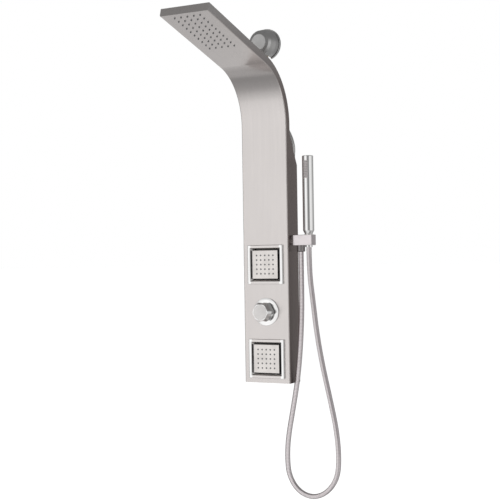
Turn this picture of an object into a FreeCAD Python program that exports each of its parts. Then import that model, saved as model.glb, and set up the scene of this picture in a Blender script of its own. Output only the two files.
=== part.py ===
import FreeCAD, Part
import math
import os

os.makedirs("parts", exist_ok=True)
V = FreeCAD.Vector

# A wall-hung shower panel: a bent sheet-metal column whose top sweeps forward into a
# rain head, with two swivelling body jets, a diverter, and a hand shower on a hose.
# Millimetres. +Z is up, the wall is the plane Y = 0, the column faces -Y.
# The origin lies on the wall, midway between the two screws of the upper wall bracket.
# Heights below are counted from the column's bottom edge and turned into Z by level().

# ---- driving dimensions -------------------------------------------------------------
panel_width = 144.0
body_depth = 66.0
neck_depth = 21.6
sheet = 1.2
fold_radius = 3.0
bend_radius = 162.2
head_rise = 15.8
head_straight = 320.5
neck_top = 734.5
slant_top = 706.0
slant_bottom = 623.0
origin_height = 576.0
lip_width = 10.0

cover_sheet = 1.0
cover_gap = 0.3
seat_gap = 0.1
cover_screw_radius = 1.45
screw_clearance = 0.1
cover_screw_first = 26.0
cover_screw_pitch = 93.0
cover_screw_rows = 4
cover_screw_length = 6.0
cover_screw_head = 1.7
screw_slot_half = 0.4
screw_slot_depth = 0.8

nozzle_columns = 5
nozzle_rows = 10
nozzle_pitch_x = 19.0
nozzle_pitch_along = 20.2
nozzle_first_row = 18.6
nozzle_radius = 2.4
nozzle_tip_radius = 1.8
nozzle_proud = 2.0
nozzle_bore_radius = 0.6
nozzle_clearance = 0.1
mat_margin = 10.0
mat_thickness = 2.0
chamber_wall = 2.0
chamber_top_depth = 16.0
stud_radius = 1.5
stud_length = 7.0
stud_clearance = 0.2
ear_thickness = 2.0
ear_reach = 12.0
ear_width = 12.0
nut_flats = 5.5
nut_height = 2.4

jet_heights = {"upper": 338.0, "lower": 69.0}
jet_frame_size = 112.0
jet_frame_bar = 10.2
jet_opening = jet_frame_size - 2.0 * jet_frame_bar
jet_frame_proud = 6.0
jet_window_lap = 8.2
jet_window = jet_frame_size - 2.0 * jet_window_lap
jet_sleeve_gap = 0.2
jet_tile_gap = 5.3
jet_tile_size = jet_opening - 2.0 * jet_tile_gap
jet_tile_proud = 5.4
jet_tile_depth = 8.0
jet_tile_front = 2.0
jet_tile_rim = 2.2
jet_nozzle_pitch = 13.1
jet_nozzle_count = 5
jet_nozzle_proud = 1.0
jet_mat_thickness = 1.6
jet_ball_depth = 19.0
jet_ball_radius = 12.0
jet_ball_gap = 0.05
jet_liner_radius = 14.0
jet_liner_half = 7.5
jet_stem_radius = 6.5
jet_stem_bore = 4.0
jet_ring_radius = 19.5
jet_ring_front = 10.5
jet_cup_floor = 18.0
jet_cup_floor_thickness = 2.0
jet_cup_wall = 2.5
jet_boss_radius = 26.0
jet_boss_end = 32.0
jet_inlet_radius = 15.0
jet_inlet_end = 50.0
jet_water_bore = 8.0
jet_stud_offset = 36.0
jet_bezel_chamfer = 2.2
jet_bezel_corner = 1.5
jet_mouth_flare = 1.8
jet_mouth_depth = 2.4
jet_sleeve_length = 3.2
jet_flange_inset = 1.0
jet_cup_room = 0.5
jet_tile_chamfer = 0.8
jet_tile_plate = 2.5
jet_spanner_circle = 16.4
jet_spanner_radius = 1.2

pipe_radius = 6.0
pipe_bore = 5.05
barb_radius = 5.0
barb_bore = 3.6
barb_length = 15.0
pipe_root_gap = 0.5
jet_pipe_depth = 40.0
side_pipe_depth = 33.0
side_pipe_offset = 41.0
neck_pipe_depth = 10.8
neck_pipe_bend = 36.0
neck_pipe_leave = 634.0
neck_pipe_join = 689.0
clip_width = 6.0
clip_wall = 0.9
clip_gap = 0.05

diverter_height = 203.0
diverter_half_width = 48.0
diverter_half_height = 24.0
diverter_front = 8.4
diverter_back = 50.0
collar_radius = 19.1
collar_front = -7.2
collar_hole_gap = 0.3
collar_shoulder_radius = 24.0
mounting_nut_radius = 22.3
mounting_nut_front = -4.8
cap_nut_radius = 21.6
cap_nut_front = -9.6
cap_nut_plate = 2.4
cartridge_radius = 14.4
cartridge_gap = 0.1
cartridge_wall = 2.2
cartridge_front_wall = 12.0
fixed_disc_front = 21.6
valve_floor = 26.4
moving_disc_front = 16.8
moving_disc_radius = 11.6
spindle_radius = 4.8
spindle_gap = 0.05
spindle_front = -30.4
spindle_flat = 3.8
spindle_flat_length = 10.0
spindle_flange_front = 9.6
spindle_flange_radius = 11.4
port_radius = 3.1
port_circle = 7.4
flange_radius = 39.6
flange_rim = 3.6
flange_rise = 5.0
flange_lip = 2.0
flange_edge = 0.6
flange_slope = 4.8
flange_hole_gap = 0.6
gasket_thickness = 1.0
knob_back = -7.4
knob_front = -40.0
knob_lobes = 6
knob_lobe_radius = 29.4
knob_waist_radius = 25.8
knob_face_radius = 22.2
knob_face_lobe = 1.2
knob_shoulder = 14.0
knob_taper = 0.7
knob_cavity_radius = 22.6
knob_cavity_depth = 7.2
knob_boss_radius = 9.6
knob_boss_gap = 0.8
knob_cap_radius = 21.1
knob_cap_thickness = 1.7
knob_cap_proud = 0.5
knob_cap_edge = 0.4
grub_radius = 2.5
grub_length = 10.0
grub_depth = -25.4
grub_socket_flats = 2.5
grub_socket_depth = 3.0

inlet_x = 54.5
inlet_y = -18.0
inlet_block_half = 12.5
inlet_block_drop = 9.0
inlet_block_rise = 21.0
inlet_block_low = diverter_height - inlet_block_drop
inlet_block_high = diverter_height + inlet_block_rise
inlet_thread_radius = 10.48
inlet_thread_rise = 37.0
inlet_thread_top = diverter_height + inlet_thread_rise
inlet_bore = 6.0
inlet_passage = 3.6
thread_gap = 0.1
lower_nut_flats = 24.0
lower_nut_rise = 25.0
lower_nut_length = 19.0
lower_nut_low = diverter_height + lower_nut_rise
lower_nut_high = lower_nut_low + lower_nut_length

wall_arm_x = -19.0
wall_arm_height = 979.0
wall_shank_radius = 10.48
wall_shank_length = 15.0
wall_body_radius = 14.0
wall_body_front = -36.0
wall_body_shoulder = -3.6
wall_outlet_y = -23.0
wall_outlet_low = 946.0
wall_outlet_bore = 7.0
upper_nut_flats = 24.0
upper_nut_low = 937.0
upper_nut_high = 958.0
bell_ring_radius = 45.5
bell_ring_depth = 7.0
bell_groove_radius = 41.5
bell_groove_depth = 9.5
bell_shoulder_radius = 42.7
bell_front_radius = 33.6
bell_depth = 54.0
bell_corner = 10.8
bell_flare = 1.9
bell_skirt = 14.0
bell_wall = 1.2
bell_boss_wall = 2.5
bell_boss_length = 24.0
bell_slot_gap = 1.6

supply_hose_radius = 7.4
supply_hose_bore = 5.0

outlet_y = -33.0
outlet_height = 405.5
outlet_tube_radius = 9.5
outlet_tube_bore = 5.5
outlet_drop_bore = 5.0
outlet_tube_end = 91.0
outlet_hole_gap = 0.3
outlet_hex_flats = 25.0
outlet_hex_thickness = 4.0
outlet_body_radius = 8.5
spacer_radius = 12.0

block_left = 78.0
block_right = 137.0
block_depth = 30.0
block_low = 391.0
block_high = 421.0
block_edge = 1.5
hose_outlet_x = 97.0
hose_outlet_thread = 10.48
hose_outlet_thread_length = 12.0
outlet_nut_radius = 11.8
outlet_nut_edge = 1.2
nut_gap = 0.3
washer_thickness = 1.5
outlet_nut_low = 373.0

wand_x = 122.0
wand_bore_radius = 13.2
insert_gap = 0.08
insert_collar_radius = 14.0
insert_collar_height = 0.8
cone_top_radius = 11.6
cone_bottom_radius = 10.6
cone_gap = 0.15
wand_nut_low = 386.0
wand_nut_top = 423.0
wand_thread_radius = 10.48
wand_thread_length = 10.0
wand_radius = 16.1
wand_wall = 2.4
wand_top = 645.0
wand_taper_low_radius = 11.0
wand_taper_height = 9.6
wand_edge = 1.8
spray_low = 581.0
spray_high = 631.0
spray_half_width = 6.7
spray_gap = 0.15
spray_columns = 3
spray_rows = 10
spray_tip_radius = 0.8
spray_tip_proud = 0.6
spray_pitch_x = 4.0

hose_radius = 7.5
hose_root_radius = 6.9
hose_bore = 5.0
hose_ribs = 200

bracket_half_width = 36.0
bracket_half_height = 18.0
bracket_sheet = 2.0
bracket_hole_spacing = 50.0
bracket_hole_radius = 2.75
bracket_tab_depth = 19.0
bracket_lip_height = 12.0
hanger_y = -24.0
hanger_sheet = 1.5
hanger_half_height = 16.0
hanger_ear = 19.0
hook_half_width = 26.0
hook_gap = 0.4
foot_half_width = 26.0
foot_height = 43.0
foot_reach = 29.0
foot_hole_spacing = 30.0
foot_hole_height = 29.0
foot_screw_y = -17.0
foot_screw_radius = 2.0
foot_screw_head = 3.8
foot_screw_head_height = 2.2
foot_screw_length = 10.0

# the hose of the hand shower: X, Y and height above the column's bottom edge
hose_route = [
    (hose_outlet_x, outlet_y, outlet_nut_low),
    (hose_outlet_x, outlet_y, 302.0),
    (97.5, -34.5, 211.0),
    (93.5, -37.8, 110.0),
    (84.5, -40.8, 14.0),
    (68.5, -42.6, -74.0),
    (52.0, -43.2, -156.0),
    (48.5, -43.5, -213.0),
    (53.0, -43.9, -263.0),
    (81.0, -44.2, -305.0),
    (125.5, -44.4, -321.0),
    (170.0, -43.9, -305.0),
    (203.0, -43.2, -262.0),
    (209.0, -42.5, -204.0),
    (202.0, -41.5, -125.0),
    (182.0, -40.1, -36.0),
    (160.5, -38.4, 53.0),
    (143.5, -36.6, 144.0),
    (132.5, -34.8, 235.0),
    (wand_x, outlet_y, 314.0),
    (wand_x, outlet_y, wand_nut_low),
]

# the supply hose behind the neck: X, Y and height above the column's bottom edge
supply_route = [
    (wall_arm_x, wall_outlet_y, upper_nut_low),
    (wall_arm_x, wall_outlet_y, 890.0),
    (-7.0, -21.0, 836.0),
    (14.5, -17.5, 781.0),
    (43.0, -13.8, 727.0),
    (62.5, -11.6, 672.0),
    (59.0, -13.2, 600.0),
    (56.4, -14.6, 520.0),
    (55.2, -16.0, 430.0),
    (inlet_x, inlet_y, 330.0),
    (inlet_x, inlet_y, lower_nut_high),
]

# ---- derived places -----------------------------------------------------------------
half_width = panel_width / 2.0
inner_half = half_width - sheet
front_y = -body_depth
bend_angle = math.radians(90.0 - head_rise)


def level(height):
    """Z of a height above the column's bottom edge."""
    return height - origin_height


bend_y = front_y - bend_radius
bend_z = level(neck_top)


def depth(distance):
    """Y of a distance behind the front face of the column."""
    return front_y + distance


# ---- small makers -------------------------------------------------------------------
def save(name, shape):
    shape.exportStep("parts/" + name + ".step")


def box(x0, x1, y0, y1, z0, z1):
    return Part.makeBox(x1 - x0, y1 - y0, z1 - z0, V(x0, y0, z0))


def rod(start, direction, radius, length):
    return Part.makeCylinder(radius, length, start, direction)


def ring(start, direction, outer, inner, length):
    return rod(start, direction, outer, length).cut(rod(start, direction, inner, length))


def face_of(points):
    return Part.Face(Part.makePolygon(points + [points[0]]))


def hexagon_bar(start, direction, flats, length, turn=0.0):
    """A hexagonal bar along X, Y or Z from start, with a given width across flats."""
    corner = flats / math.sqrt(3.0)
    points = []
    for index in range(6):
        angle = math.radians(60.0 * index + turn)
        a = corner * math.cos(angle)
        b = corner * math.sin(angle)
        if abs(direction.z) > 0.5:
            points.append(start + V(a, b, 0))
        elif abs(direction.y) > 0.5:
            points.append(start + V(a, 0, b))
        else:
            points.append(start + V(0, a, b))
    return face_of(points).extrude(direction * length)


def square_bar(size, y0, y1, z_centre):
    half = size / 2.0
    return box(-half, half, y0, y1, z_centre - half, z_centre + half)


def turned_about_y(profile, x, z):
    """A solid of revolution about a line along Y; profile holds (radius, y) pairs."""
    points = [V(x + radius, y, z) for radius, y in profile]
    return face_of(points).revolve(V(x, 0, z), V(0, 1, 0), 360.0)


def turned_about_z(profile, x, y):
    """A solid of revolution about a line along Z; profile holds (radius, z) pairs."""
    points = [V(x + radius, y, z) for radius, z in profile]
    return face_of(points).revolve(V(x, y, 0), V(0, 0, 1), 360.0)


def fuse_all(shapes):
    return shapes[0].multiFuse(shapes[1:]).removeSplitter()


def rounded_route(points, radii):
    """Straight runs joined by tangent arcs; radii holds one arc radius per inner point."""
    edges = []
    start = points[0]
    for index in range(1, len(points) - 1):
        corner = points[index]
        back = (points[index - 1] - corner).normalize()
        ahead = (points[index + 1] - corner).normalize()
        half_turn = (math.pi - back.getAngle(ahead)) / 2.0
        trim = radii[index - 1] * math.tan(half_turn)
        arc_start = corner + back * trim
        arc_end = corner + ahead * trim
        inward = (back + ahead).normalize()
        reach = radii[index - 1] * (1.0 / math.cos(half_turn) - 1.0)
        middle = corner + inward * reach
        edges.append(Part.LineSegment(start, arc_start).toShape())
        edges.append(Part.Arc(arc_start, middle, arc_end).toShape())
        start = arc_end
    edges.append(Part.LineSegment(start, points[-1]).toShape())
    return Part.Wire(edges)


def cord_radii(points):
    """The largest even arc radius at each inner point: 0.45 of the shorter run."""
    radii = []
    for index in range(1, len(points) - 1):
        back = points[index - 1] - points[index]
        ahead = points[index + 1] - points[index]
        half_turn = (math.pi - back.getAngle(ahead)) / 2.0
        shorter = min(back.Length, ahead.Length)
        radii.append(0.45 * shorter / math.tan(half_turn))
    return radii


def swept_tube(route, outer, inner):
    """A tube along a route, with its bore."""
    start = route.Edges[0].Vertexes[0].Point
    direction = route.Edges[0].tangentAt(route.Edges[0].FirstParameter)
    solids = []
    for radius in (outer, inner):
        circle = Part.Wire(Part.makeCircle(radius, start, direction))
        solids.append(route.makePipeShell([circle], True, False))
    return solids[0].cut(solids[1])


# ---- the folded sheet: outlines in the side plane -----------------------------------
def arc_point(x, distance, angle):
    radius = bend_radius + distance
    return V(x, bend_y + radius * math.cos(angle), bend_z + radius * math.sin(angle))


def head_point(x, distance, from_end):
    """A point of the head: distance from its underside, length from its free end."""
    run = head_straight - from_end
    base = arc_point(x, distance, bend_angle)
    return base + V(0, -math.sin(bend_angle) * run, math.cos(bend_angle) * run)


def bent_edges(x, distance, low, from_end):
    """The bent line at one distance from the front face: neck run, bend and head run."""
    foot = V(x, depth(distance), level(low))
    bend_start = arc_point(x, distance, 0.0)
    bend_middle = arc_point(x, distance, bend_angle / 2.0)
    bend_end = arc_point(x, distance, bend_angle)
    tip = head_point(x, distance, from_end)
    edges = [Part.LineSegment(foot, bend_start).toShape()]
    edges.append(Part.Arc(bend_start, bend_middle, bend_end).toShape())
    edges.append(Part.LineSegment(bend_end, tip).toShape())
    return foot, tip, edges


def strip(x0, x1, inner_depth, outer_depth, low, from_end):
    """A bent sheet between two depths, from a height of the neck to the head's end."""
    foot_a, tip_a, edges_a = bent_edges(x0, inner_depth, low, from_end)
    foot_b, tip_b, edges_b = bent_edges(x0, outer_depth, low, from_end)
    end = Part.LineSegment(tip_a, tip_b).toShape()
    foot = Part.LineSegment(foot_b, foot_a).toShape()
    wire = Part.Wire(edges_a + [end] + edges_b[::-1] + [foot])
    return Part.Face(wire).extrude(V(x1 - x0, 0, 0))


def column_solid(inset, beyond):
    """The column's side outline pulled in by inset and pushed out at the back by beyond."""
    x0 = inset - half_width
    foot, tip, front = bent_edges(x0, inset, inset, inset)
    back_depth = neck_depth + beyond
    back_foot, back_tip, back = bent_edges(x0, back_depth, slant_top + beyond, inset)
    slant_end = V(x0, beyond, level(slant_bottom + beyond))
    back_bottom = V(x0, beyond, level(inset))
    rest = [
        Part.LineSegment(back_foot, slant_end).toShape(),
        Part.LineSegment(slant_end, back_bottom).toShape(),
        Part.LineSegment(back_bottom, foot).toShape(),
    ]
    end = Part.LineSegment(tip, back_tip).toShape()
    wire = Part.Wire(front + [end] + back[::-1] + rest)
    return Part.Face(wire).extrude(V(2.0 * (half_width - inset), 0, 0))


def front_distance(point):
    """How far a point lies behind the front face, round the bend as well."""
    if point.z <= bend_z:
        return point.y - front_y
    along = V(0, point.y - bend_y, point.z - bend_z)
    angle = math.atan2(along.z, along.y)
    if angle <= bend_angle:
        return along.Length - bend_radius
    normal = V(0, math.cos(bend_angle), math.sin(bend_angle))
    return along.dot(normal) - bend_radius


def fold_edges(solid, inset):
    """The edges of the front face of a column solid."""
    found = []
    for edge in solid.Edges:
        first, last = edge.ParameterRange
        spots = [edge.valueAt(first + (last - first) * share) for share in (0.1, 0.5, 0.9)]
        if all(abs(front_distance(spot) - inset) < 0.01 for spot in spots):
            if abs(abs(spots[1].x) - (half_width - inset)) < 0.01:
                found.append(edge)
    return found


def in_head(shape):
    """Moves a shape from the head's flat frame to its place.

    In the flat frame X is across, Y is the length from the free end towards the bend,
    and Z is the distance from the underside.
    """
    placed = shape.copy()
    turn = FreeCAD.Rotation(V(1, 0, 0), -head_rise)
    placed.Placement = FreeCAD.Placement(head_point(0, 0, 0), turn)
    return placed


# ---- patterns -----------------------------------------------------------------------
def head_nozzle_spots():
    spots = []
    for column in range(nozzle_columns):
        x = (column - (nozzle_columns - 1) / 2.0) * nozzle_pitch_x
        for row in range(nozzle_rows):
            spots.append((x, nozzle_first_row + row * nozzle_pitch_along))
    return spots


mat_half_width = (nozzle_columns - 1) / 2.0 * nozzle_pitch_x + mat_margin
mat_start = nozzle_first_row - mat_margin
mat_end = nozzle_first_row + (nozzle_rows - 1) * nozzle_pitch_along + mat_margin
chamber_half = mat_half_width + cover_gap + chamber_wall
chamber_start = mat_start - cover_gap - chamber_wall
chamber_end = mat_end + cover_gap + chamber_wall


def head_stud_spots():
    middle = (chamber_start + chamber_end) / 2.0
    spots = []
    for along in (chamber_start + ear_width, middle, chamber_end - ear_width):
        for side in (-1.0, 1.0):
            spots.append((side * (chamber_half + ear_reach / 2.0 - 1.0), along))
    return spots


def jet_stud_spots():
    reach = jet_frame_size / 2.0 + ear_reach / 2.0 - 1.0
    return [(sx * reach, sz * jet_stud_offset) for sx in (-1.0, 1.0) for sz in (-1.0, 1.0)]


def jet_nozzle_spots():
    spots = []
    for column in range(jet_nozzle_count):
        for row in range(jet_nozzle_count):
            x = (column - (jet_nozzle_count - 1) / 2.0) * jet_nozzle_pitch
            z = (row - (jet_nozzle_count - 1) / 2.0) * jet_nozzle_pitch
            spots.append((x, z))
    return spots


def cover_screw_spots():
    side = inner_half - lip_width / 2.0
    spots = []
    for row in range(cover_screw_rows):
        along = cover_screw_first + row * cover_screw_pitch
        spots.extend([(-side, along), (side, along)])
    return spots


lip_depth = neck_depth - cover_sheet - seat_gap - sheet


# ---- the shell ----------------------------------------------------------------------
def make_front_shell():
    outer = column_solid(0.0, 0.0)
    outer = outer.makeFillet(fold_radius, fold_edges(outer, 0.0))
    hollow = column_solid(sheet, 2.0)
    hollow = hollow.makeFillet(fold_radius - sheet, fold_edges(hollow, sheet))
    shell = outer.cut(hollow)
    pieces = [shell]
    for side in (-1.0, 1.0):
        edge = side * (inner_half + sheet / 2.0)
        inner = side * (inner_half - lip_width)
        x0, x1 = min(edge, inner), max(edge, inner)
        pieces.append(strip(x0, x1, lip_depth, lip_depth + sheet, slant_top, sheet / 2.0))
        pieces.append(box(x0, x1, -sheet, 0.0, level(sheet / 2.0), level(slant_bottom - 6.0)))
    for x, along in head_stud_spots():
        stud = rod(V(x, along, sheet / 2.0), V(0, 0, 1), stud_radius, stud_length)
        pieces.append(in_head(stud))
    for height in jet_heights.values():
        for x, z in jet_stud_spots():
            foot = V(x, depth(sheet / 2.0), level(height) + z)
            pieces.append(rod(foot, V(0, 1, 0), stud_radius, stud_length))
    shell = fuse_all(pieces)
    cuts = []
    for x, along in head_nozzle_spots():
        hole = rod(V(x, along, -1.0), V(0, 0, 1), nozzle_radius + nozzle_clearance, sheet + 2.0)
        cuts.append(in_head(hole))
    for x, along in cover_screw_spots():
        hole = rod(V(x, along, lip_depth - 1.0), V(0, 0, 1), cover_screw_radius + 0.05, sheet + 2.0)
        cuts.append(in_head(hole))
    for height in jet_heights.values():
        cuts.append(square_bar(jet_window, depth(-1.0), depth(sheet + 1.0), level(height)))
    knob_axis = V(0, depth(-1.0), level(diverter_height))
    cuts.append(rod(knob_axis, V(0, 1, 0), collar_radius + collar_hole_gap, sheet + 2.0))
    outlet_axis = V(inner_half - 1.0, outlet_y, level(outlet_height))
    cuts.append(rod(outlet_axis, V(1, 0, 0), outlet_tube_radius + outlet_hole_gap, sheet + 2.0))
    foot_hole = V(0, foot_screw_y, level(-1.0))
    cuts.append(rod(foot_hole, V(0, 0, 1), foot_screw_radius + screw_clearance * 2, sheet + 2.0))
    save("front_shell", shell.cut(Part.makeCompound(cuts)))


def make_back_cover():
    reach = inner_half - cover_gap
    cover = strip(-reach, reach, neck_depth - cover_sheet, neck_depth, slant_top, sheet + cover_gap)
    holes = []
    screws = []
    for x, along in cover_screw_spots():
        foot = V(x, along, neck_depth - cover_sheet - 1.0)
        holes.append(in_head(rod(foot, V(0, 0, 1), cover_screw_radius + screw_clearance * 2,
                             cover_sheet + 2.0)))
        shank_foot = V(x, along, neck_depth - cover_screw_length)
        shank = rod(shank_foot, V(0, 0, 1), cover_screw_radius, cover_screw_length)
        head = rod(V(x, along, neck_depth), V(0, 0, 1), cover_screw_radius * 2.0, cover_screw_head)
        slot_low = neck_depth + cover_screw_head - screw_slot_depth
        slot = box(x - screw_slot_half, x + screw_slot_half, along - 4.0, along + 4.0,
                   slot_low, slot_low + 2.0)
        screws.append(in_head(shank.fuse(head).cut(slot)))
    save("back_cover", cover.cut(Part.makeCompound(holes)))
    save("cover_screws", Part.makeCompound(screws))


# ---- the rain head ------------------------------------------------------------------
def make_rain_head():
    mat = box(-mat_half_width, mat_half_width, mat_start, mat_end, sheet, sheet + mat_thickness)
    nozzles = []
    bores = []
    for x, along in head_nozzle_spots():
        nozzles.append(rod(V(x, along, 0.0), V(0, 0, 1), nozzle_radius, sheet + 1.0))
        tip = Part.makeCone(nozzle_tip_radius, nozzle_radius, nozzle_proud, V(x, along, -nozzle_proud))
        nozzles.append(tip)
        bores.append(rod(V(x, along, -3.0), V(0, 0, 1), nozzle_bore_radius, 8.0))
    mat = fuse_all([mat] + nozzles).cut(Part.makeCompound(bores))
    save("rain_nozzle_mat", in_head(mat))

    body = box(-chamber_half, chamber_half, chamber_start, chamber_end, sheet, chamber_top_depth)
    pieces = [body]
    for x, along in head_stud_spots():
        side = math.copysign(1.0, x)
        edge = side * chamber_half
        inner, outer = edge - side * chamber_wall, edge + side * (ear_reach - 2.0)
        x0, x1 = min(inner, outer), max(inner, outer)
        half = ear_width / 2.0
        pieces.append(box(x0, x1, along - half, along + half, sheet, sheet + ear_thickness))
    spigot = V(-side_pipe_offset, chamber_end - 1.0, neck_pipe_depth)
    pieces.append(rod(spigot, V(0, 1, 0), barb_radius, barb_length + 1.0))
    chamber = fuse_all(pieces)
    room = chamber_wall
    cuts = [box(room - chamber_half, chamber_half - room, chamber_start + room,
                chamber_end - room, 0.0, chamber_top_depth - room)]
    cuts.append(rod(V(spigot.x, chamber_end - 5.0, spigot.z), V(0, 1, 0), barb_bore, barb_length + 8.0))
    nuts = []
    for x, along in head_stud_spots():
        hole = stud_radius + stud_clearance
        cuts.append(rod(V(x, along, 0.0), V(0, 0, 1), hole, sheet + ear_thickness + 1.0))
        foot = V(x, along, sheet + ear_thickness)
        nut = hexagon_bar(foot, V(0, 0, 1), nut_flats, nut_height)
        nuts.append(in_head(nut.cut(rod(foot, V(0, 0, 1), stud_radius + 0.05, nut_height))))
    save("rain_chamber", in_head(chamber.cut(Part.makeCompound(cuts))))
    return nuts


# ---- the swivelling body jets -------------------------------------------------------
def make_jet(side, height, towards_valve):
    """One jet; towards_valve is +1 where the diverter lies above it, -1 where below."""
    z = level(height)
    axis = V(0, 1, 0)

    bezel = square_bar(jet_frame_size, depth(-jet_frame_proud), depth(0.0), z)
    rim = [e for e in bezel.Edges if abs(e.CenterOfMass.y - depth(-jet_frame_proud)) < 0.01]
    bezel = bezel.makeChamfer(jet_bezel_chamfer, rim)
    corners = [e for e in bezel.Edges if abs(e.tangentAt(e.FirstParameter).y) > 0.99]
    bezel = bezel.makeFillet(jet_bezel_corner, corners)
    sleeve_size = jet_window - 2.0 * jet_sleeve_gap
    sleeve = square_bar(sleeve_size, depth(-1.0), depth(jet_sleeve_length), z)
    opening = square_bar(jet_opening, depth(-jet_frame_proud - 1.0), depth(10.0), z)
    mouth_half = jet_opening / 2.0
    mouth_front = depth(-jet_frame_proud)
    corner_signs = ((-1, -1), (1, -1), (1, 1), (-1, 1), (-1, -1))
    wide = mouth_half + jet_mouth_flare
    outline = [V(sx * wide, mouth_front, z + sz * wide) for sx, sz in corner_signs]
    throat = [V(sx * mouth_half, mouth_front + jet_mouth_depth, z + sz * mouth_half)
              for sx, sz in corner_signs]
    mouth = Part.makeLoft([Part.makePolygon(outline), Part.makePolygon(throat)], True, True)
    save(side + "_jet_frame", bezel.fuse(sleeve).cut(opening).cut(mouth).removeSplitter())

    flange_back = sheet + ear_thickness
    flange = square_bar(jet_frame_size - 2.0 * jet_flange_inset, depth(sheet), depth(flange_back), z)
    hollow_size = jet_opening + 2.0 * jet_cup_room
    outer_size = hollow_size + 2.0 * jet_cup_wall
    walls = square_bar(outer_size, depth(sheet), depth(jet_cup_floor), z)
    floor_back = jet_cup_floor + jet_cup_floor_thickness
    floor = square_bar(outer_size, depth(jet_cup_floor), depth(floor_back), z)
    boss = rod(V(0, depth(jet_ring_front), z), axis, jet_boss_radius, jet_boss_end - jet_ring_front)
    inlet = rod(V(0, depth(jet_boss_end - 1.0), z), axis, jet_inlet_radius, jet_inlet_end - jet_boss_end + 1.0)
    pieces = [flange, walls, floor]
    for x, dz in jet_stud_spots():
        inner = math.copysign(jet_frame_size / 2.0 - 3.0, x)
        outer = math.copysign(jet_frame_size / 2.0 + ear_reach - 2.0, x)
        x0, x1 = min(inner, outer), max(inner, outer)
        half = ear_width / 2.0
        pieces.append(box(x0, x1, depth(sheet), depth(flange_back), z + dz - half, z + dz + half))
    cup = fuse_all(pieces)
    nest = square_bar(jet_window, depth(0.0), depth(flange_back), z)
    hollow = square_bar(hollow_size, depth(0.0), depth(jet_cup_floor), z)
    cup = cup.cut(nest).cut(hollow)
    barb = rod(V(0, depth(jet_pipe_depth), z), V(0, 0, towards_valve), barb_radius, jet_inlet_radius + barb_length)
    cup = fuse_all([cup, boss, inlet, barb])
    socket = Part.makeSphere(jet_liner_radius + jet_ball_gap, V(0, depth(jet_ball_depth), z))
    ring_well = rod(V(0, depth(jet_ring_front - 1.0), z), axis, jet_ring_radius + 0.1,
                    jet_ball_depth - jet_ring_front + 1.0)
    water = rod(V(0, depth(jet_ball_depth), z), axis, jet_water_bore,
                jet_inlet_end - jet_ball_depth - 3.0)
    feed = rod(V(0, depth(jet_pipe_depth), z), V(0, 0, towards_valve), barb_bore, jet_inlet_radius + barb_length + 1.0)
    cuts = [socket, ring_well, water, feed]
    for x, dz in jet_stud_spots():
        cuts.append(rod(V(x, depth(0.0), z + dz), axis, stud_radius + stud_clearance, 6.0))
    save(side + "_jet_cup", cup.cut(Part.makeCompound(cuts)))

    retainer = rod(V(0, depth(jet_ring_front), z), axis, jet_ring_radius, jet_ball_depth - jet_ring_front - 0.1)
    spanner = []
    for angle in range(0, 360, 60):
        a = math.radians(angle + 30)
        reach = jet_spanner_circle
        spot = V(reach * math.cos(a), depth(jet_ring_front - 0.5), z + reach * math.sin(a))
        spanner.append(rod(spot, axis, jet_spanner_radius, 2.5))
    retainer = retainer.cut(socket).cut(Part.makeCompound(spanner))
    save(side + "_jet_retaining_ring", retainer)

    ball_centre = V(0, depth(jet_ball_depth), z)
    liner = Part.makeSphere(jet_liner_radius, ball_centre)
    liner = liner.common(rod(ball_centre - axis * jet_liner_half, axis, 30.0, 2.0 * jet_liner_half))
    liner = liner.cut(Part.makeSphere(jet_ball_radius + jet_ball_gap, ball_centre))
    save(side + "_jet_ball_liner", liner)

    tile_front = -jet_tile_proud
    tile_back = tile_front + jet_tile_depth
    face = square_bar(jet_tile_size, depth(tile_front), depth(tile_back), z)
    outline = [e for e in face.Edges if abs(e.CenterOfMass.y - depth(tile_front)) < 0.01]
    face = face.makeChamfer(jet_tile_chamfer, outline)
    room = jet_tile_size - 2.0 * jet_tile_rim
    face = face.cut(square_bar(room, depth(tile_front + jet_tile_front), depth(tile_back + 1.0), z))
    mat_front = tile_front + jet_tile_front
    mat_back = mat_front + jet_mat_thickness
    mat = square_bar(room - 1.0, depth(mat_front), depth(mat_back), z)
    holes = []
    tips = []
    bores = []
    for x, dz in jet_nozzle_spots():
        foot = V(x, depth(tile_front - jet_nozzle_proud), z + dz)
        holes.append(rod(foot, axis, nozzle_radius + nozzle_clearance, 6.0))
        tips.append(Part.makeCone(nozzle_tip_radius, nozzle_radius, jet_nozzle_proud, foot, axis))
        tips.append(rod(V(x, depth(tile_front), z + dz), axis, nozzle_radius, jet_tile_front + 0.5))
        bores.append(rod(foot - axis, axis, nozzle_bore_radius, 8.0))
    save(side + "_jet_face", face.cut(Part.makeCompound(holes)))
    save(side + "_jet_nozzle_mat", fuse_all([mat] + tips).cut(Part.makeCompound(bores)))

    plate = square_bar(room - 2.0 * screw_clearance, depth(tile_back - jet_tile_plate), depth(tile_back), z)
    stem = rod(V(0, depth(tile_back - 1.0), z), axis, jet_stem_radius, jet_ball_depth - tile_back)
    ball = Part.makeSphere(jet_ball_radius, ball_centre)
    swivel = fuse_all([plate, stem, ball])
    swivel = swivel.cut(rod(V(0, depth(-2.0), z), axis, jet_stem_bore, jet_ball_depth + jet_ball_radius + 4.0))
    save(side + "_jet_swivel", swivel)

    nuts = []
    for x, dz in jet_stud_spots():
        foot = V(x, depth(flange_back), z + dz)
        nut = hexagon_bar(foot, axis, nut_flats, nut_height)
        nuts.append(nut.cut(rod(foot, axis, stud_radius + 0.05, nut_height)))
    return nuts


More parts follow.
